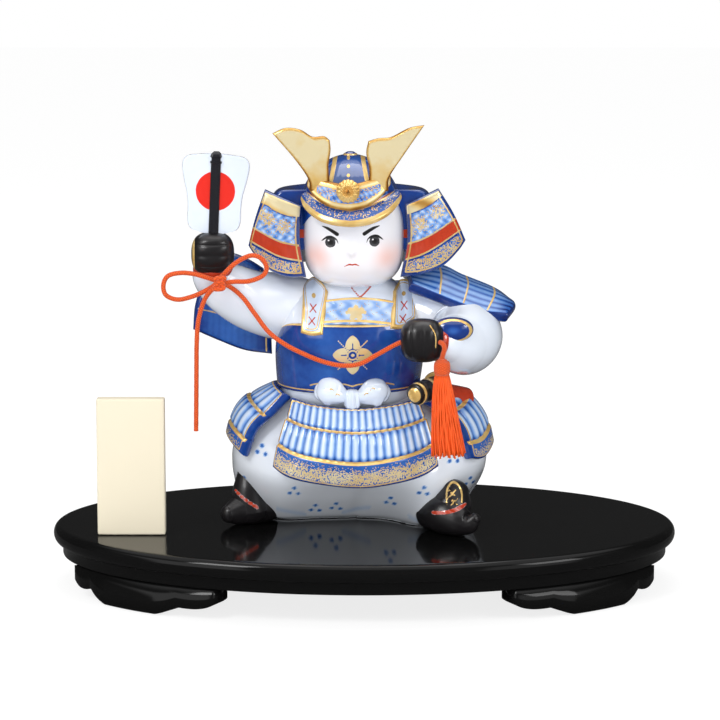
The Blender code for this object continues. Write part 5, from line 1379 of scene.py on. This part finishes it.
def lower_sleeve_form():
    """Sleeve to the lower fist: out to the elbow and back across the chest."""
    x, y, z = LOWER_FIST
    return sleeve_form((
        (6.0, 9.0, SHOULDER - 1.0, 10.0), (18.0, 8.0, SHOULDER, 14.5),
        (36.0, 6.0, SHOULDER - 2.0, 16.5), (51.0, 0.0, SHOULDER - 7.5, 19.0),
        (57.0, -12.0, SHOULDER - 11.0, 18.6), (53.0, -27.0, SHOULDER - 11.5, 14.6),
        (x + 12.0, y + 7.0, z - 2.2, 10.6), (x + 7.0, y + 2.6, z - 1.0, 8.8)), 170, 0.02, 7)


def cuff_form(fist, towards, radius):
    """A rounded ring between a fist and its sleeve."""
    start = np.array(fist, float)
    way = np.array(towards, float)
    way /= np.linalg.norm(way)
    rows = [(*(start + way * out), radius * swell) for out, swell in (
        (4.6, 0.8), (5.4, 0.93), (6.6, 1.0), (8.6, 1.02), (9.8, 0.95), (10.6, 0.8))]
    return wrapped(sweep(rows, 40, 96))


def fist_form(middle, turned_over=False):
    """A gloved fist: a rounded block whose front carries the ridges of four bent fingers."""
    rows, columns = 110, 130
    tilt = np.linspace(-math.pi / 2, math.pi / 2, rows + 2)[1:-1][:, None]
    angle = turns(columns)[None, :]
    up = np.sign(np.sin(tilt)) * np.abs(np.sin(tilt)) ** 0.8
    out = np.abs(np.cos(tilt)) ** 0.62
    x, y = oval(-1.0, 1.0, -1.0, 1.0, 2.4, angle)
    facing = np.clip(-y, 0.0, 1.0) ** 0.6
    groove = np.abs(np.sin(math.pi * 2 * (up + 1))) ** 0.5
    swell = 1.0 - 0.075 * (1 - groove) * facing * (np.abs(up) < 0.9)
    grid = np.stack([out * x, out * y * swell, up + 0 * x], axis=-1)
    grid *= np.array((FIST_RADIUS, FIST_RADIUS * 0.92, FIST_RADIUS))
    if turned_over:
        grid = grid[..., [2, 1, 0]] * np.array((1.0, 1.0, -1.0))
    return wrapped(grid + middle)


GLOVE_LINE = ((38.5, 108.4), (41.0, 104.0), (41.2, 98.0))


def shields():
    """Shoulder shields: Coons patches from their four curved edges."""
    left = panel(
        ((-67.0, 13.0, 131.0), (-60.5, 14.0, 135.0), (-52.0, 15.0, 132.0), (-44.0, 15.0, 127.0)),
        ((-79.8, 11.5, 96.4), (-67.0, 14.5, 90.2), (-54.0, 16.0, 85.0), (-40.0, 17.0, 82.8)),
        ((-74.5, 12.0, 120.0), (-78.6, 11.5, 109.0)), [(-41.0, 17.0, 105.0)], 130, 115)
    right = panel(
        ((26.0, 14.0, 124.0), (43.2, 14.0, 127.6), (55.0, 14.0, 122.6), (71.7, 14.0, 115.4),
         (81.0, 13.0, 107.6)),
        ((29.0, -15.0, 121.6), (42.4, -16.0, 115.9), (55.0, -16.5, 111.0), (66.0, -17.0, 107.6),
         (78.0, -15.5, 106.2)), [(28.0, 0.0, 124.6)], [(82.4, -1.0, 108.6)], 150, 100)
    return left, right


def left_shield_paint(form):
    """Deep wash, darkest at both ends, with gold rules across and down."""
    u, v, edge = form.u, form.v, form.edge
    stripes = np.abs(np.sin(u * math.pi * 12.0))
    ends = ease(0.25, 0.0, u) + ease(0.72, 0.95, u)
    cobalt = 0.70 + 0.20 * ends - 0.05 * stripes
    gold = any_of(0.35 - np.abs(u - 0.93) * 40.0, *(0.35 - np.abs(v - t) * 44.0 for t in (0.36, 0.7)))
    return {"gold": np.where(edge > 1.2, gold, FAR),
            "cobalt": np.maximum(cobalt, 0.9 * ease(2.2, 1.0, edge))}


def right_shield_paint(form):
    """Wash in seven stripes, darker at the edge, with three gold rules."""
    u, v, edge = form.u, form.v, form.edge
    stripes = np.abs(np.sin(v * math.pi * 7.0))
    cobalt = 0.34 + 0.42 * (1 - stripes) + 0.3 * ease(0.8, 1.0, u)
    lines = any_of(*(0.45 - np.abs(u - t) * 56.0 for t in (0.30, 0.54, 0.78)))
    cobalt = np.maximum(cobalt, 0.92 * ease(2.2, 1.0, edge))
    return {"gold": np.where(edge > 1.6, lines, FAR), "cobalt": cobalt}


ARM_GUARD = LOWER_FIST + np.array((14.8, 2.0, 5.0))
ARM_GUARD_REACH = (10.0, 5.8, 6.0)


def arm_guard_form():
    """Guard on the forearm: a flattened superellipsoid."""
    return wrapped(blob(ARM_GUARD, ARM_GUARD_REACH, 2.2, 2.2, rows=70, columns=110))


def arm_guard_paint(form):
    """Deep wash, paler in the middle, with a gold ellipse near its rim."""
    away = np.hypot((form.x - ARM_GUARD[0]) / ARM_GUARD_REACH[0],
                    (form.z - ARM_GUARD[2]) / ARM_GUARD_REACH[2])
    return {"cobalt": 0.85 - 0.2 * ease(0.5, 0.0, away), "gold": (0.075 - np.abs(away - 0.86)) * 6.0}


# Sword

def sword_pieces():
    """Grip with a twisted wrap, round guard and scabbard: sweeps along the sword's line."""
    end, guard = np.array((32.6, -44.0, WAIST + 3.8)), np.array((42.5, -29.5, WAIST + 4.6))
    side, tip = np.array((43.5, -12.0, WAIST - 2.4)), np.array((56.5, 1.0, WAIST - 7.5))

    def along(share, radius):
        """A place at a share of the way from the grip's end to its guard, with a radius."""
        return (*(end + (guard - end) * share), radius)
    grip = sweep(rounded_ends([along(share, 5.4) for share in np.linspace(0.03, 1.0, 7)]), 130, 90,
                 shape=lambda share, angle: 1 + 0.07 * np.sin(2 * math.pi * (
                     7.0 * share + angle / (2 * math.pi))))
    disc_rows = [along(share, radius) for share, radius in (
        (0.88, 5.4), (0.9, 6.8), (0.95, 7.4), (1.05, 7.4), (1.1, 6.8), (1.12, 5.4))]
    scabbard = sweep(rounded_ends(((*guard, 5.6), (*side, 6.4), (*tip, 6.2))), 110, 90)
    return grip, sweep(disc_rows, 40, 96), scabbard


def grip_paint(form):
    """Black, with gold wraps, cap and collar at shares of its length."""
    share, u = form.v, form.u
    wraps = any_of(*(0.5 - np.abs(share - t) * 20.0 for t in (0.30, 0.50, 0.70)))
    cap = 0.5 - (share - 0.13) * 20.0
    return {"black": FULL, "gold": any_of(wraps, cap, 0.5 - (1 - share) * 20.0) + 0 * u}


def scabbard_paint(form):
    """Red, with gold rings at two shares of its length."""
    share = form.v
    rings = any_of(*(0.6 - np.abs(share - t) * 30.0 for t in (0.62, 0.93)))
    return {"red": FULL, "gold": rings}


# Fan

FAN_LEAN = math.radians(2.7)
FAN_LIFT = FIST_RADIUS + 0.3
FAN_HEIGHT = 38.0
SUN = (-66.3, 169.2)            # middle of the fan's red disc
SUN_RADIUS = 9.7


def from_fan(points):
    """From the fan's upright frame at the raised fist to the doll's: a small lean sideways."""
    c, s = math.cos(FAN_LEAN), math.sin(FAN_LEAN)
    x, z = points[..., 0] * c + points[..., 2] * s, -points[..., 0] * s + points[..., 2] * c
    return np.stack([x, points[..., 1], z], axis=-1) + RAISED_FIST


def fan_blade_form():
    """Flat blade with waisted sides: two half outlines that meet at the foot and at the top."""
    half = smooth_through(((7.3, 0.0), (11.4, 1.5), (13.1, 5.3), (13.2, 12.9), (13.9, 19.0), (15.4, 25.1),
                           (16.6, 31.9), (16.1, 35.3), (13.9, 37.4), (10.0, FAN_HEIGHT)),
                          even(90))
    wide, high = half[:, 0][:, None], half[:, 1][:, None]
    across = close_at_ends(90)[None, :] * 2 - 1
    arch = 0.9 * ease(0.9, 1.0, high / FAN_HEIGHT) - 1.2 * ease(0.1, 0.0, high / FAN_HEIGHT)
    z = FAN_LIFT + high + arch * (1 - across ** 2)
    form = plate(np.stack([across * wide, 0 * z, z], axis=-1), *PLATES["fan"])
    form.points = from_fan(form.points)
    return form


def fan_paint(form):
    """White leaf with one red disc on its front."""
    sun = np.where(form.y < RAISED_FIST[1], disc(form.x, form.z, SUN, SUN_RADIUS), FAR)
    return {"red": sun, "bright": 1.0 * (sun > -1.0), "cobalt": 0.055}


def fan_shaft_form():
    """Flat-sided stick with a faceted finial: rounded squares along its height."""
    low, top = -6.5, FAN_LIFT + FAN_HEIGHT + 1.8
    rows = ((low, 2.4, 2.2), (low + 0.4, 2.5, 2.3), (top - 6.0, 2.5, 2.3), (top - 5.6, 2.9, 2.6),
            (top - 4.8, 2.9, 2.6), (top - 4.4, 2.3, 2.1), (top - 3.4, 2.3, 2.1), (top - 2.4, 2.9, 2.6),
            (top - 1.2, 2.5, 2.3), (top, 1.3, 1.2))
    angle = turns(48)[None, :]
    table = np.asarray(rows)
    heights = np.sort(np.concatenate([np.linspace(low, top, 80), table[:, 0]]))
    wide, deep = (np.interp(heights, table[:, 0], table[:, k])[:, None] for k in (1, 2))
    x, y = oval(-wide, wide, -deep, deep, 5.0, angle)
    return wrapped(from_fan(np.stack([x, y, heights[:, None] + 0 * x], axis=-1)))


# Cord and tassel

CORD_DIAMETER = 2.4


def cord_form(path):
    """Round tube along the route; eight strands stand out of it as a braid."""
    stations = np.column_stack([path, np.full(len(path), CORD_DIAMETER / 2)])

    def braid(share, angle):
        """Radius with two sets of grooves that wind opposite ways and cross."""
        turns = share * 210.0
        return 1.0 - 0.06 * np.abs(np.sin(2 * angle + turns) * np.sin(2 * angle - turns)) ** 0.5
    return wrapped(sweep(stations, len(path), 16, shape=braid))


def knot_form():
    """Wrap of the bow: three turns of cord round the crossing, one lying over the next."""
    centre = RAISED_FIST + np.array((4.2, -18.4, -12.2))
    angle = np.linspace(0.0, 2 * math.pi * 2.9, 260)
    lift = np.linspace(-1.6, 1.6, 260)
    path = np.stack([centre[0] + 2.5 * np.sin(angle) * 0.9 + 0.35 * lift,
                     centre[1] - 0.5 * np.cos(angle), centre[2] + 2.3 * np.cos(angle * 0.5) + lift], axis=1)
    stations = np.column_stack([path, np.full(len(path), 1.1)])
    return wrapped(sweep(rounded_ends(stations), 260, 14))


TASSEL_TOP = LOWER_FIST + np.array((9.3, -8.4, -8.0))
TASSEL_THREADS = 190
TASSEL_LENGTH = 39.4
TASSEL_SPREAD = (3.2, 8.3)      # radius of the bundle at the head and at its foot
THREAD_RADIUS = 0.42


def tassel_head_form():
    """Strand out of the fist, and below it the bound head of the tassel."""
    x, y, z = LOWER_FIST
    rows = ((x + 6.4, y - 5.6, z + 0.2, 1.2), (x + 9.2, y - 8.6, z + 0.1, 1.2),
            (x + 10.4, y - 9.6, z - 2.2, 1.2), (x + 9.7, y - 8.9, z - 5.4, 1.2),
            *((*(TASSEL_TOP + (0.0, 0.0, rise)), radius) for rise, radius in (
                (0.8, 1.3), (-0.3, 2.4), (-1.6, 3.6), (-4.0, 3.9), (-6.4, 3.7), (-7.6, 3.0))))

    def threads(share, angle):
        """Radius with 26 fine ridges, below the binding only."""
        bound = ease(0.52, 0.6, share)
        return 1.0 + bound * 0.03 * np.cos(26 * angle)
    return wrapped(sweep(rows, 150, 104, shape=threads))


def tassel_skirt_form():
    """Bundle of silk threads: tubes that leave the head close together, spread and sway."""
    golden = math.pi * (3 - math.sqrt(5))
    count, rows, sides = TASSEL_THREADS, 16, 5
    near, far = TASSEL_SPREAD
    start = TASSEL_TOP - np.array((0.0, 0.0, 7.4))
    points, faces, uv = [], [], []
    offset = 0
    share = even(rows)
    for index in range(count):
        out = math.sqrt((index + 0.5) / count)
        turn = golden * index
        length = TASSEL_LENGTH - 2.6 * (1 - out) - 1.1 * math.sin(index * 2.3)
        radius = out * (near + (far - near) * share ** 0.75)
        wave = 0.35 * np.sin(share * (7 + index % 5) + index)
        path = start + np.stack([
            3.4 * share ** 1.3 + radius * math.cos(turn) + wave * math.sin(turn),
            0.62 * radius * math.sin(turn) + 0.5 * wave, -length * share], axis=1)
        thread = wrapped(sweep(np.column_stack([path, np.full(rows, THREAD_RADIUS)]), rows, sides))
        points.append(thread.points)
        faces += [[corner + offset for corner in face] for face in thread.faces]
        uv.append(thread.uv)
        offset += len(thread.points)
    return Form(np.vstack(points), faces, np.vstack(uv))


# Stand and name board

BAND_TOP = 6.5                  # height of the narrower band under the rim
BAND_INSET = 4.5                # how far it stands back
RIM_ROUND = 3.6
FOOT_ENDS = (144.5, 72.5)       # where a foot starts and stops, across from the stand's middle
FOOT_THICKNESS = 13.0


def box_mm(node):
    """A node's lowest and highest corners, in millimetres."""
    return [np.array(corner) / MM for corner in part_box(node)]


def stand_form():
    """Oval board: a bullnose rim over a narrower band, as ovals that shrink towards the middle."""
    low, high = box_mm("stand_top")
    half_x, half_y = (high[0] - low[0]) / 2, (high[1] - low[1]) / 2
    rim = high[2] - low[2] - BAND_TOP
    rows = [(low[2], 60.0), (low[2], BAND_INSET + 1.0), (low[2] + 0.4, BAND_INSET + 0.2),
            (low[2] + 1.0, BAND_INSET), (low[2] + BAND_TOP - 0.3, BAND_INSET),
            (low[2] + BAND_TOP, BAND_INSET - 0.3)]
    for share in np.linspace(0.03, 1.0, 26):
        turn = math.pi * (share - 0.5)
        rows.append((low[2] + BAND_TOP + rim * (1 + math.sin(turn)) / 2, RIM_ROUND * (1 - math.cos(turn))))
    rows += [(high[2], RIM_ROUND + 1.5), (high[2], 30.0), (high[2], half_y - 1.0)]
    angle = turns(360)
    grid = np.array([np.stack([(half_x - inset) * np.cos(angle), (half_y - inset) * np.sin(angle),
                               np.full(360, height)], axis=1) for height, inset in rows])
    return wrapped(grid + np.array(((high[0] + low[0]) / 2, (high[1] + low[1]) / 2, 0.0)))


def foot_form(node):
    """Cloud foot that follows the rim: three lobes reach down, the middle one to the floor."""
    low, high = box_mm(node)
    half_x, half_y = box_mm("stand_top")[1][:2] - BAND_INSET
    side, end = (1 if low[0] > 0 else -1), (1 if low[1] > 0 else -1)
    height = high[2]
    share = even(130)
    start, stop = (math.acos(x / half_x) for x in FOOT_ENDS)
    turn = start + (stop - start) * share
    depth = np.full(130, 2.0)
    for middle, half, deep in ((0.1, 0.13, 10.5), (0.5, 0.34, height + 1.5), (0.86, 0.17, 10.5)):
        off = np.clip(np.abs(share - middle) / half, 0.0, 1.0)
        depth = np.maximum(depth, deep * (1 - off ** 2.4) ** (1 / 2.4))
    depth = np.minimum(depth, height)
    section = np.array([(0.0, 1.0), (0.0, 0.10), (0.03, 0.04), (0.08, 0.0), (0.5, 0.0), (0.92, 0.0),
                        (0.97, 0.04), (1.0, 0.10), (1.0, 1.0)])
    rows = []
    for t, deep in zip(turn, depth):
        inward = section[:, 0] * FOOT_THICKNESS
        rise = height - deep + np.minimum(section[:, 1] * 8.0, 1.0) * section[:, 1] * deep
        rows.append(np.stack([side * (half_x - inward) * math.cos(t),
                              end * (half_y - inward) * math.sin(t), rise], axis=1))
    return wrapped(np.array(rows))


def board_form():
    """Small plank that leans back, every edge softly rounded."""
    low, high = box_mm("plaque")
    lean, thick = math.tan(math.radians(3.0)), 7.0
    share = close_at_ends(60)
    angle = turns(120)
    half = (high[0] - low[0]) / 2
    rings = []
    for t in share:
        up = (high[2] - low[2]) * t
        inset = 0.9 * (1 - math.sqrt(1 - (1 - min(min(t, 1 - t) / 0.013, 1.0)) ** 2))
        x, y = oval(-half + inset, half - inset, inset, thick - inset, 14.0, angle)
        rings.append(np.stack([x, y + up * lean, np.full(120, up)], axis=1))
    return wrapped(np.array(rings) + np.array(((low[0] + high[0]) / 2, low[1], low[2])))


# Add-on

class DollSizes(PropertyGroup):
    """Sizes that change the look and not the fit."""
    panel_thickness: FloatProperty(name="Panel thickness", description="Thickness of the skirt panels",
                                   default=0.005, unit="LENGTH")
    rib_depth: FloatProperty(name="Rib depth", description="How far the skirt panels' ribs stand out",
                             default=0.0007, unit="LENGTH")
    camera_distance: FloatProperty(name="Camera distance", description="From the camera to its target",
                                   default=1.2, unit="LENGTH")
    floor_width: FloatProperty(name="Floor width", description="Side of the pale floor",
                               default=12.0, unit="LENGTH")


class DollColours(PropertyGroup):
    """Colours of the paints, glazes and cord."""
    porcelain: FloatVectorProperty(name="Porcelain", description="Bare glaze over the white body",
                                   default=(0.835, 0.865, 0.915), subtype="COLOR")
    cobalt: FloatVectorProperty(name="Cobalt", description="Underglaze blue at its usual strength",
                                default=(0.030, 0.13, 0.46), subtype="COLOR")
    iron_red: FloatVectorProperty(name="Iron red", description="Enamel of the red bands",
                                  default=(0.56, 0.055, 0.018), subtype="COLOR")
    black_glaze: FloatVectorProperty(name="Black glaze", description="Gloves, boots and sword grip",
                                     default=(0.010, 0.009, 0.010), subtype="COLOR")
    gold: FloatVectorProperty(name="Gold", description="Gold lustre", default=(0.93, 0.63, 0.22),
                              subtype="COLOR")
    lacquer: FloatVectorProperty(name="Lacquer", description="Black lacquer of the stand",
                                 default=(0.004, 0.004, 0.004), subtype="COLOR")
    cord: FloatVectorProperty(name="Cord", description="Silk of the cord and tassel",
                              default=(0.95, 0.115, 0.010), subtype="COLOR")


class BuildStage(Operator):
    """Camera, floor, world and lamps."""
    bl_idname = "doll.stage"
    bl_label = "Stage"
    bl_options = {"REGISTER", "UNDO"}

    def execute(self, context):
        context.scene.view_settings.view_transform = "Standard"
        for part in (make_camera, make_world, make_floor, make_lamps):
            part(context.scene)
        return {"FINISHED"}


class BuildCord(Operator):
    """Cord, its bow's wrap, and the tassel."""
    bl_idname = "doll.cord"
    bl_label = "Cord and tassel"
    bl_options = {"REGISTER", "UNDO"}

    def execute(self, context):
        make_cord()
        return {"FINISHED"}


class BuildHead(Operator):
    """Head with its painted face."""
    bl_idname = "doll.head"
    bl_label = "Head"
    bl_options = {"REGISTER", "UNDO"}

    def execute(self, context):
        painted("head", head_form(), face_paint)
        return {"FINISHED"}


class BuildHelmet(Operator):
    """Helmet bowl, visor, crest, horns, neck guard and its wings."""
    bl_idname = "doll.helmet"
    bl_label = "Helmet"
    bl_options = {"REGISTER", "UNDO"}

    def execute(self, context):
        painted("helmet_bowl", bowl_form(), bowl_paint)
        painted("helmet_knob", knob_form(), lambda form: {
            "cobalt": 0.85, "gold": band(np.hypot(form.x, form.y - 3.0), 3.2, 4.1)})
        painted("visor", plate(brim_grid(), *PLATES["visor"]), brim_paint)
        painted("crest_plate", plate(crest_grid(), *PLATES["crest"]), crest_paint)
        for side, grid in zip(SIDES, horns()):
            painted(f"horn_{side}", plate(grid, *PLATES["horn"]), horn_paint)
        painted("crest_flower", boss_form(), lambda form: {"gold": FULL})
        painted("neck_guard", guard_form(), guard_paint)
        for side, grid, lines in zip(SIDES, wings(), WING_LINES):
            painted(f"wing_{side}", plate(grid, *PLATES["wing"]), wing_paint(*lines))
        return {"FINISHED"}


class BuildArmour(Operator):
    """Body, breastplate, straps, breast band, sash and bow."""
    bl_idname = "doll.armour"
    bl_label = "Body and armour"
    bl_options = {"REGISTER", "UNDO"}

    def execute(self, context):
        painted("body", chest_form(), chest_paint)
        painted("breastplate", breastplate_form(), breastplate_paint)
        for side, grid, marks in zip(SIDES, straps(), STRAP_MARKS):
            painted(f"strap_{side}", plate(grid, *PLATES["strap"]), strap_paint(*marks))
        painted("breast_band", plate(band_grid(), *PLATES["band"]), band_paint)
        painted("sash", ring_form(WAIST - 8.0, WAIST + 0.9, 3.3), sash_paint)
        for side, way in zip(SIDES, (-1, 1)):
            painted(f"bow_{side}", wrapped(lobe_grid(way)), bow_paint)
        painted("bow_knot", bow_knot_form(), bow_paint)
        return {"FINISHED"}


class BuildSkirt(Operator):
    """Laced skirt panels, trousers and boots."""
    bl_idname = "doll.skirt"
    bl_label = "Skirt, trousers and boots"
    bl_options = {"REGISTER", "UNDO"}

    def execute(self, context):
        thickness = context.scene.doll_sizes.panel_thickness / MM
        for name, (*edges, push, rim, ribs, tiers, height) in SKIRT_PANELS.items():
            grid = bulged(panel(*edges), push)
            form = plate(grid, thickness, rim, ribbed(grid, ribs, tiers))
            painted(name, form, skirt_paint(ribs, tiers, height))
        painted("trousers", trousers_form(), trousers_paint)
        boots = boot_pieces()
        for side, leg, shoe, marks in zip(SIDES, boots[::2], boots[1::2], BOOT_MARKS):
            painted(f"boot_{side}", wrapped(leg), boot_paint(*marks))
            painted(f"shoe_{side}", wrapped(shoe), boot_paint(*marks))
        return {"FINISHED"}


class BuildArms(Operator):
    """Sleeves, cuffs, gloved fists, shoulder shields and the forearm guard."""
    bl_idname = "doll.arms"
    bl_label = "Arms"
    bl_options = {"REGISTER", "UNDO"}

    def execute(self, context):
        for side, form in zip(SIDES, (raised_sleeve_form(), lower_sleeve_form())):
            painted(f"sleeve_{side}", form, lambda form: {"cobalt": 0.04})
        for side, fist, towards, radius in (("left", RAISED_FIST, (0.0, 0.28, -1.0), 9.8),
                                            ("right", LOWER_FIST, (1.0, 0.5, -0.15), 9.4)):
            painted(f"cuff_{side}", cuff_form(fist, towards, radius), lambda form: {"red": FULL})
        painted("glove_left", fist_form(RAISED_FIST), lambda form: {
            "black": FULL, "gold": 0.6 - np.abs(form.x - RAISED_FIST[0] + 9.2)})
        painted("glove_right", fist_form(LOWER_FIST, turned_over=True), lambda form: {
            "black": FULL, "gold": stroke(form.x, form.z, GLOVE_LINE, 0.5)})
        for side, grid, paint in zip(SIDES, shields(), (left_shield_paint, right_shield_paint)):
            painted(f"shield_{side}", plate(grid, *PLATES["shield"]), paint)
        painted("arm_guard", arm_guard_form(), arm_guard_paint)
        return {"FINISHED"}


class BuildWeapons(Operator):
    """Sword thrust through the sash, and the war fan."""
    bl_idname = "doll.weapons"
    bl_label = "Sword and fan"
    bl_options = {"REGISTER", "UNDO"}

    def execute(self, context):
        grip, guard, scabbard = sword_pieces()
        painted("sword_grip", wrapped(grip), grip_paint)
        painted("sword_guard", wrapped(guard), lambda form: {"gold": FULL})
        painted("scabbard", wrapped(scabbard), scabbard_paint)
        painted("fan_leaf", fan_blade_form(), fan_paint, replaced="fan_blade", slot="fan_white")
        shaft = plain("black_stick", (0.008, 0.008, 0.009), 0.22, coat=0.6)
        build("fan_stick", fan_shaft_form(), shaft, replaced="fan_shaft", slot="black_stick", sharp=35.0)
        return {"FINISHED"}


class BuildStand(Operator):
    """Lacquered oval stand with its four cloud feet, and the name board."""
    bl_idname = "doll.stand"
    bl_label = "Stand and name board"
    bl_options = {"REGISTER", "UNDO"}

    def execute(self, context):
        build("board_top", stand_form(), lacquer(), replaced="stand_top", slot="lacquer", local=False,
              sharp=50.0)
        for end in ("front", "back"):
            for side in SIDES:
                node = f"foot_{end}_{side}"
                build(f"cloud_{node}", foot_form(node), lacquer(), replaced=node, slot="lacquer",
                      local=False)
        build("name_board", board_form(), pale_wood(), replaced="plaque", slot="pale_wood", local=False)
        return {"FINISHED"}


def make_cord():
    """Cord, its wrap and the tassel; the cord's length along its route is worked out."""
    def silk(name, form, finish, node):
        """A silk piece in place of a CAD node."""
        return build(name, form, finish, replaced=node, slot="cord_red")
    path = evenly_along(CORD_ROUTE, even(1200))
    cord = silk("silk_cord", cord_form(path), braided("cord_silk", 4.0, 260.0), "cord")
    knot = silk("bow_wrap", knot_form(), braided("wrap_silk", 4.0, 16.0), "cord_knot")
    silk("tassel_crown", tassel_head_form(), braided("crown_silk", 12.0, 20.0), "tassel_head")
    red = tuple(bpy.context.scene.doll_colours.cord)
    silk("tassel_threads", tassel_skirt_form(), plain("thread_silk", red, 0.55, scale=900.0, shift=0.5),
         "tassel_skirt")
    length = float(np.linalg.norm(np.diff(path, axis=0), axis=1).sum()) * MM


def studio_reflection(tree):
    """What shiny pieces mirror: a dim room, a soft panel overhead and a window on either side."""
    way = tree.node("SeparateXYZ", {0: tree.node("TexCoord").outputs["Generated"]})
    across, ahead, up = way.outputs

    def step(value, low, high):
        """Share of a value between two levels, 0 to 1, eased at both ends."""
        return tree.node("MapRange", {"Value": value, "From Min": low, "From Max": high},
                         interpolation_type="SMOOTHSTEP").outputs[0]

    def window(side, strength):
        """A soft-edged pane on one side: the product of its three eased edges, times its strength."""
        far = tree.times(across, side)
        width = tree.times(step(far, 0.42, 0.50), step(far, 0.86, 0.78))
        height = tree.times(step(up, 0.02, 0.10), step(up, 0.62, 0.52))
        pane = tree.times(tree.times(width, height), step(ahead, 0.15, -0.10))
        return tree.times(pane, strength)
    panes = tree.plus(window(-1.0, 1.5), window(1.0, 0.9))
    overhead = tree.times(step(up, 0.66, 0.84), 1.1)
    room = tree.plus(0.045, tree.times(step(ahead, 0.2, -0.2), 0.10))
    return tree.plus(room, tree.plus(panes, overhead))


# Name, place, size and watts of each lamp
LAMPS = (("key", (-0.75, -0.85, 1.05), 0.40, 6.5), ("fill", (0.95, -0.70, 0.75), 0.40, 3.0),
         ("top", (0.0, 0.25, 1.4), 0.8, 4.0), ("low", (0.05, -1.3, 0.03), 0.8, 12.0))
LAMP_TARGET = Vector((0.0, 0.0, 0.12))
CAMERA_TARGET = Vector((-2.2, -8.0, 115.3)) * MM
CAMERA_LIFT = math.radians(10.0)
WHITE = (1.0, 1.0, 1.0, 1.0)


def placed(scene, name, data):
    """Link a new object into the scene."""
    made = bpy.data.objects.new(name, data)
    scene.collection.objects.link(made)
    return made


def make_camera(scene):
    """Camera at the photograph's angle: level, and above the target by the lift."""
    camera = bpy.data.cameras.new("camera")
    camera.lens, camera.sensor_width, camera.clip_end = 120.0, 36.0, 100.0
    holder = placed(scene, "camera", camera)
    way = Vector((0.0, -math.cos(CAMERA_LIFT), math.sin(CAMERA_LIFT)))
    holder.location = CAMERA_TARGET + way * scene.doll_sizes.camera_distance
    holder.rotation_euler = (math.radians(90.0) - CAMERA_LIFT, 0.0, 0.0)
    scene.camera = holder


def make_world(scene):
    """White to the camera and through glass, a studio to mirrors, and a plain level for all else."""
    world = bpy.data.worlds.new("studio")
    scene.world = world
    world.use_nodes = True
    tree = Tree(world.node_tree)
    light = tree.node("LightPath")
    seen = tree.math("MAXIMUM", light.outputs["Is Camera Ray"], light.outputs["Is Transmission Ray"])
    strength = tree.blend(light.outputs["Is Glossy Ray"], 0.62, studio_reflection(tree))
    connect(tree, world.node_tree.nodes["Background"], Color=WHITE,
            Strength=tree.blend(seen, strength, 1.0))


def make_floor(scene):
    """Pale floor that keeps the shadow, glows to white for the camera and is dim in mirrors."""
    half = scene.doll_sizes.floor_width / 2
    mesh = bpy.data.meshes.new("floor")
    mesh.from_pydata([(x * half, y * half, -0.0002) for x, y in ((-1, -1), (1, -1), (1, 1), (-1, 1))],
                     [], [(0, 1, 2, 3)])
    made, tree, shader = new_material("pale_floor")
    path = tree.node("LightPath")
    camera = path.outputs["Is Camera Ray"]
    base = tree.blend(camera, tree.blend(path.outputs["Is Glossy Ray"], 0.80, 0.12), 0.30)
    connect(tree, shader, Base_Color=base, Roughness=0.8, Specular_IOR_Level=0.0, Emission_Color=WHITE,
            Emission_Strength=tree.times(camera, 0.80))
    mesh.materials.append(made)
    placed(scene, "floor", mesh)


def make_lamps(scene):
    """Soft square lamps turned to the doll; the low one has no mirror image."""
    for name, spot, size, power in LAMPS:
        lamp = bpy.data.lights.new(name, "AREA")
        lamp.size, lamp.energy = size, power
        bulb = placed(scene, name, lamp)
        bulb.location = spot
        bulb.visible_glossy = name != "low"
        bulb.rotation_euler = (LAMP_TARGET - bulb.location).to_track_quat("-Z", "Y").to_euler()


STEPS = (BuildStage, BuildCord, BuildHead, BuildHelmet, BuildArmour, BuildSkirt, BuildArms, BuildWeapons,
         BuildStand)


class DollPanel(Panel):
    """Sizes, colours and the building steps of the doll."""
    bl_idname = "VIEW3D_PT_samurai_doll"
    bl_label = "Samurai doll"
    bl_space_type = "VIEW_3D"
    bl_region_type = "UI"
    bl_category = "Samurai doll"

    def draw(self, context):
        """List the settings, then a button for each building step."""
        for group_name in ("doll_sizes", "doll_colours"):
            owner = getattr(context.scene, group_name)
            for key in owner.__annotations__:
                self.layout.prop(owner, key)
        for step in STEPS:
            self.layout.operator(step.bl_idname)


CLASSES = (DollSizes, DollColours, *STEPS, DollPanel)


def register():
    """Register the classes and hang the settings on the scene."""
    for made in CLASSES:
        bpy.utils.register_class(made)
    bpy.types.Scene.doll_sizes = PointerProperty(type=DollSizes)
    bpy.types.Scene.doll_colours = PointerProperty(type=DollColours)


def unregister():
    """Undo what register does, in reverse."""
    del bpy.types.Scene.doll_colours
    del bpy.types.Scene.doll_sizes
    for made in reversed(CLASSES):
        bpy.utils.unregister_class(made)


def main():
    """Build every piece in order."""
    register()
    bpy.ops.doll.stage()
    bpy.ops.doll.cord()
    bpy.ops.doll.head()
    bpy.ops.doll.helmet()
    bpy.ops.doll.armour()
    bpy.ops.doll.skirt()
    bpy.ops.doll.arms()
    bpy.ops.doll.weapons()
    bpy.ops.doll.stand()


if __name__ == "__main__":
    main()
